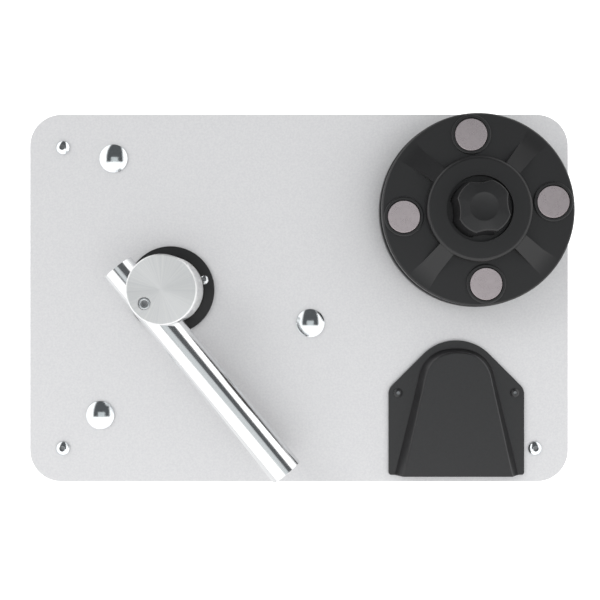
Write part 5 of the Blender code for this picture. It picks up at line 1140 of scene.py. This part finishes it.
def make_hood():
    """A pressed hood: a thin flange and a raised scoop that opens to the front."""
    low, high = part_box("exhaust_hood")
    middle = (low.x + high.x) / 2
    flange_top = low.z + HOOD_FLANGE
    arc_centre = HOOD_DEPTH - HOOD_APEX_RADIUS
    side_depth = arc_centre + HOOD_APEX_RADIUS * math.sqrt(2) - HOOD_HALF_WIDTH
    far_corner = (HOOD_HALF_WIDTH, side_depth, flange_top)
    flange = boxed("exhaust_hood_pressing", (-HOOD_HALF_WIDTH, 0, low.z), far_corner)
    join(flange, drum("apex", HOOD_APEX_RADIUS, low.z, flange_top, (0, arc_centre), APEX_FACETS))
    bpy.ops.object.mode_set(mode="EDIT")
    bpy.ops.mesh.select_all(action="SELECT")
    bpy.ops.mesh.convex_hull()
    bpy.ops.mesh.select_all(action="SELECT")
    bpy.ops.mesh.dissolve_limited(angle_limit=HOOD_FLATNESS)
    bpy.ops.object.mode_set(mode="OBJECT")

    def is_front(a, b):
        return upright(a, b) and a.y < OVERRUN

    def is_side(a, b):
        return upright(a, b) and abs(a.x) > HOOD_HALF_WIDTH - OVERRUN and a.y > side_depth - OVERRUN

    round_edges(flange, is_front, HOOD_FRONT_CORNER, CORNER_STEPS)
    round_edges(flange, is_side, HOOD_CORNER, CORNER_STEPS)

    share_of_wall = 1 - HOOD_ROUND_OVER / (high.z - low.z)
    shoulder = blended(HOOD_FOOT, HOOD_CROWN, share_of_wall)
    loops = [scoop_loop(HOOD_FOOT, low.z), scoop_loop(shoulder, high.z - HOOD_ROUND_OVER)]
    for angle in quarter_turn(HOOD_ROUND_STEPS):
        inset = HOOD_ROUND_OVER * HOOD_ROUND_SHARE * (1 - math.cos(angle))
        share = share_of_wall + (1 - share_of_wall) * math.sin(angle)
        height = high.z - HOOD_ROUND_OVER * (1 - math.sin(angle))
        loops.append(scoop_loop(blended(HOOD_FOOT, HOOD_CROWN, share), height, inset))
    scoop = skinned("scoop", loops)
    under = high.z - HOOD_WALL
    hollow = skinned(
        "scoop_hollow",
        [
            scoop_loop(HOOD_FOOT, low.z - OVERRUN, HOOD_WALL, OVERRUN),
            scoop_loop(HOOD_FOOT, low.z, HOOD_WALL, OVERRUN),
            scoop_loop(HOOD_CROWN, under, HOOD_WALL, OVERRUN),
        ],
    )
    weld(flange, scoop)
    carve(flange, hollow)
    soften(flange, HOOD_EDGE, 4, HOOD_SHARPEST)
    placed(flange, middle, low.y)
    dress(flange, "base", "black_steel", "exhaust_hood")


def make_level_tube():
    low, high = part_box("level_tube")
    place = (low + high) / 2
    sizes = (LEVEL_TUBE_RADIUS, LEVEL_TUBE_BORE, low.z, high.z)
    tube = soften(sleeve("clear_level_tube", *sizes, place, SCREW_FACETS), THIN_EDGE, 2)
    dress(tube, "base", "clear_tube", "level_tube")
    low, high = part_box("level_stopper")
    seat = high.z - STOPPER_HEAD
    profile = [(STOPPER_RADIUS, high.z), (STOPPER_RADIUS, seat)]
    profile += [(STOPPER_PLUG_RADIUS, seat), (STOPPER_PLUG_RADIUS, low.z)]
    stopper = soften(turned("rubber_stopper", profile, place, SCREW_FACETS), RIM_EDGE)
    dress(stopper, "stopper", "black_rubber", "level_stopper")


def make_switches():
    low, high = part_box("switch_housing")
    face = low.y
    flange = boxed("switch_frame", low, (high.x, face + SWITCH_FRAME, high.z))
    round_edges(flange, lengthways, SWITCH_CORNER, CORNER_STEPS)
    inset = Vector((SWITCH_FRAME, 0, SWITCH_FRAME))
    body_low = low + inset
    body_high = high - inset
    body = boxed("switch_body", (body_low.x, face + OVERRUN, body_low.z), body_high)
    weld(flange, body)
    for node in ("direction_rocker", "vacuum_rocker"):
        pivot = joint_place(node + "_tilt")
        well_low = (pivot.x - WELL_HALF_WIDTH, face - OVERRUN, pivot.z - WELL_REACH)
        well_high = (pivot.x + WELL_HALF_WIDTH, pivot.y + WELL_REACH, pivot.z + WELL_REACH)
        carve(flange, boxed("well", well_low, well_high))
    soften(flange, CUT_EDGE)
    dress(flange, "base", "black_plastic", "switch_housing")
    make_rocker("direction_rocker", "direction_switch", 0)
    make_rocker("vacuum_rocker", "vacuum_switch", VACUUM_OFF_TILT)


def make_rocker(node, body, tilt):
    """A rocker with a shallow V front and a round back."""
    pivot = joint_place(node + "_tilt")
    end_angle = math.asin(ROCKER_END / ROCKER_RADIUS)
    sweep = math.pi + 2 * end_angle
    outline = []
    for step in range(ROCKER_STEPS + 1):
        angle = -end_angle + sweep * step / ROCKER_STEPS
        outline.append((ROCKER_RADIUS * math.sin(angle), ROCKER_RADIUS * math.cos(angle)))
    outline.append((-ROCKER_END + ROCKER_DIP, 0))
    loops = [[(x, y, z) for y, z in outline] for x in (-ROCKER_HALF_WIDTH, ROCKER_HALF_WIDTH)]
    rocker = skinned(node + "_cap", loops)
    soften(rocker, ROCKER_EDGE, 4, ROCKER_SHARPEST)
    placed(rocker, pivot.x, pivot.y, pivot.z, (tilt, 0, 0))
    dress(rocker, body, "rocker_plastic", node)


def make_inlet():
    low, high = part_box("power_inlet")
    face = high.y
    flange = boxed("inlet_frame", (low.x, face - INLET_FLANGE, low.z), high)
    round_edges(flange, lengthways, INLET_CORNER, CORNER_STEPS)
    body_low = (low.x + INLET_FRAME, low.y, low.z + INLET_FRAME)
    body_high = (high.x - INLET_FRAME, face - OVERRUN, high.z - INLET_FRAME)
    weld(flange, boxed("inlet_body", body_low, body_high))
    middle = (low + high) / 2
    floor = face - INLET_DEPTH
    recess_low = (middle.x - INLET_HALF_WIDTH, floor, middle.z - INLET_HALF_HEIGHT)
    recess_high = (middle.x + INLET_HALF_WIDTH, face + OVERRUN, middle.z + INLET_HALF_HEIGHT)
    recess = boxed("recess", recess_low, recess_high)
    round_edges(recess, lengthways, INLET_CORNER, CORNER_STEPS)
    carve(flange, recess)
    soften(flange, CUT_EDGE)
    flange.data.materials.append(FINISHES["black_plastic"])
    half_width, length, half_height = INLET_PIN_SIZE
    for x, z in INLET_PINS:
        pin_low = (middle.x + x - half_width, floor - OVERRUN, middle.z + z - half_height)
        pin_high = (middle.x + x + half_width, floor + length, middle.z + z + half_height)
        pin = soften(boxed("inlet_pin", pin_low, pin_high), SHEET_EDGE)
        pin.data.materials.append(FINISHES["bearing_bronze"])
        join(flange, pin)
    dress(flange, "base", "black_plastic", "power_inlet")


def make_studio():
    """A white floor, a world that is white to the camera and dark behind to shiny metal, and two lamps."""
    deselect()
    bpy.ops.mesh.primitive_plane_add(size=FLOOR_SIZE, location=(0, 0, -FLOOR_DROP))
    floor = named("studio_floor")
    made, tree, shader = surface("white_floor", "F4F4F4", 0.9)
    path = add(tree, "LightPath")
    glow = add(tree, "Emission", {"Color": WHITE, "Strength": FLOOR_GLOW})
    both = add(tree, "AddShader", {0: shader, 1: glow})
    seen = add(tree, "MixShader", {0: path.outputs["Is Camera Ray"], 1: shader, 2: both})
    tree.links.new(seen.outputs[0], tree.nodes["Material Output"].inputs["Surface"])
    floor.data.materials.append(made)

    world = bpy.data.worlds.new("studio")
    world.use_nodes = True
    bpy.context.scene.world = world
    tree = world.node_tree
    background = tree.nodes["Background"]
    coords = add(tree, "TexCoord")
    way = add(tree, "SeparateXYZ", {0: coords.outputs["Generated"]})
    side = add(tree, "Math", {0: way.outputs["X"]}, operation="ABSOLUTE")
    # Shiny metal mirrors bright sides and front, a dark rear up to the zenith, and a grey patch overhead
    edge = {0: way.outputs["Z"], 1: DARK_SPREAD, 2: DARK_WIDTH}
    limit = add(tree, "Math", edge, operation="MULTIPLY_ADD")
    within = add(tree, "Math", {0: limit, 1: side}, operation="SUBTRACT")
    strip = from_span(tree, within, -EDGE_BLUR, EDGE_BLUR)
    behind = from_span(tree, way.outputs["Y"], DARK_FRONT - EDGE_BLUR, DARK_FRONT + EDGE_BLUR)
    dark = add(tree, "Math", {0: strip, 1: behind}, operation="MULTIPLY")
    softboxes = mixed(tree, dark, SOFTBOX_LIGHT, REAR_DARK)
    reach = from_span(tree, side, *PATCH_SIDE)
    depth = from_span(tree, way.outputs["Y"], *PATCH_REAR)
    patch = add(tree, "Math", {0: reach, 1: depth}, operation="MULTIPLY")
    above = add(tree, "Math", {0: patch, 1: dark}, operation="MULTIPLY")
    reflected = mixed(tree, above, softboxes, OVERHEAD_GREY)
    path = add(tree, "LightPath")
    light = mixed(tree, path.outputs["Is Glossy Ray"], AMBIENT, reflected)
    seen = {0: path.outputs["Is Camera Ray"], 1: path.outputs["Is Transmission Ray"]}
    clear = add(tree, "Math", seen, operation="MAXIMUM")
    shown = mixed(tree, clear, light, WHITE)
    tree.links.new(shown.outputs[0], background.inputs["Color"])

    for name, place, size, power in LAMPS:
        lamp(name, place, size, power)


def lamp(name, place, size, power):
    deselect()
    bpy.ops.object.light_add(type="AREA", location=place)
    obj = named(name)
    obj.data.shape = "SQUARE"
    obj.data.size = size
    obj.data.energy = power
    aim = Vector((0, 0, PLATE_TOP)) - Vector(place)
    obj.rotation_euler = aim.to_track_quat("-Z", "Y").to_euler()
    obj.visible_glossy = False


def make_camera():
    deselect()
    bpy.ops.object.camera_add(location=(0, 0, PLATE_TOP + CAMERA_RISE))
    camera = named("top_camera")
    camera.data.lens = LENS
    camera.data.sensor_width = SENSOR
    half = FRAME_PIXELS / 2
    camera.data.shift_x = (half - PLATE_CENTRE_PIXEL[0]) / FRAME_PIXELS
    camera.data.shift_y = (PLATE_CENTRE_PIXEL[1] - half) / FRAME_PIXELS
    bpy.context.scene.camera = camera
    bpy.context.scene.view_settings.view_transform = "Standard"


make_camera()
make_studio()
finish_nodes()
make_top_plate()
make_case()
make_feet()
make_screws()
make_tank_bolts()
make_column()
make_arm()
make_platter()
make_clamp()
make_knob()
make_hood()
make_level_tube()
make_switches()
make_inlet()
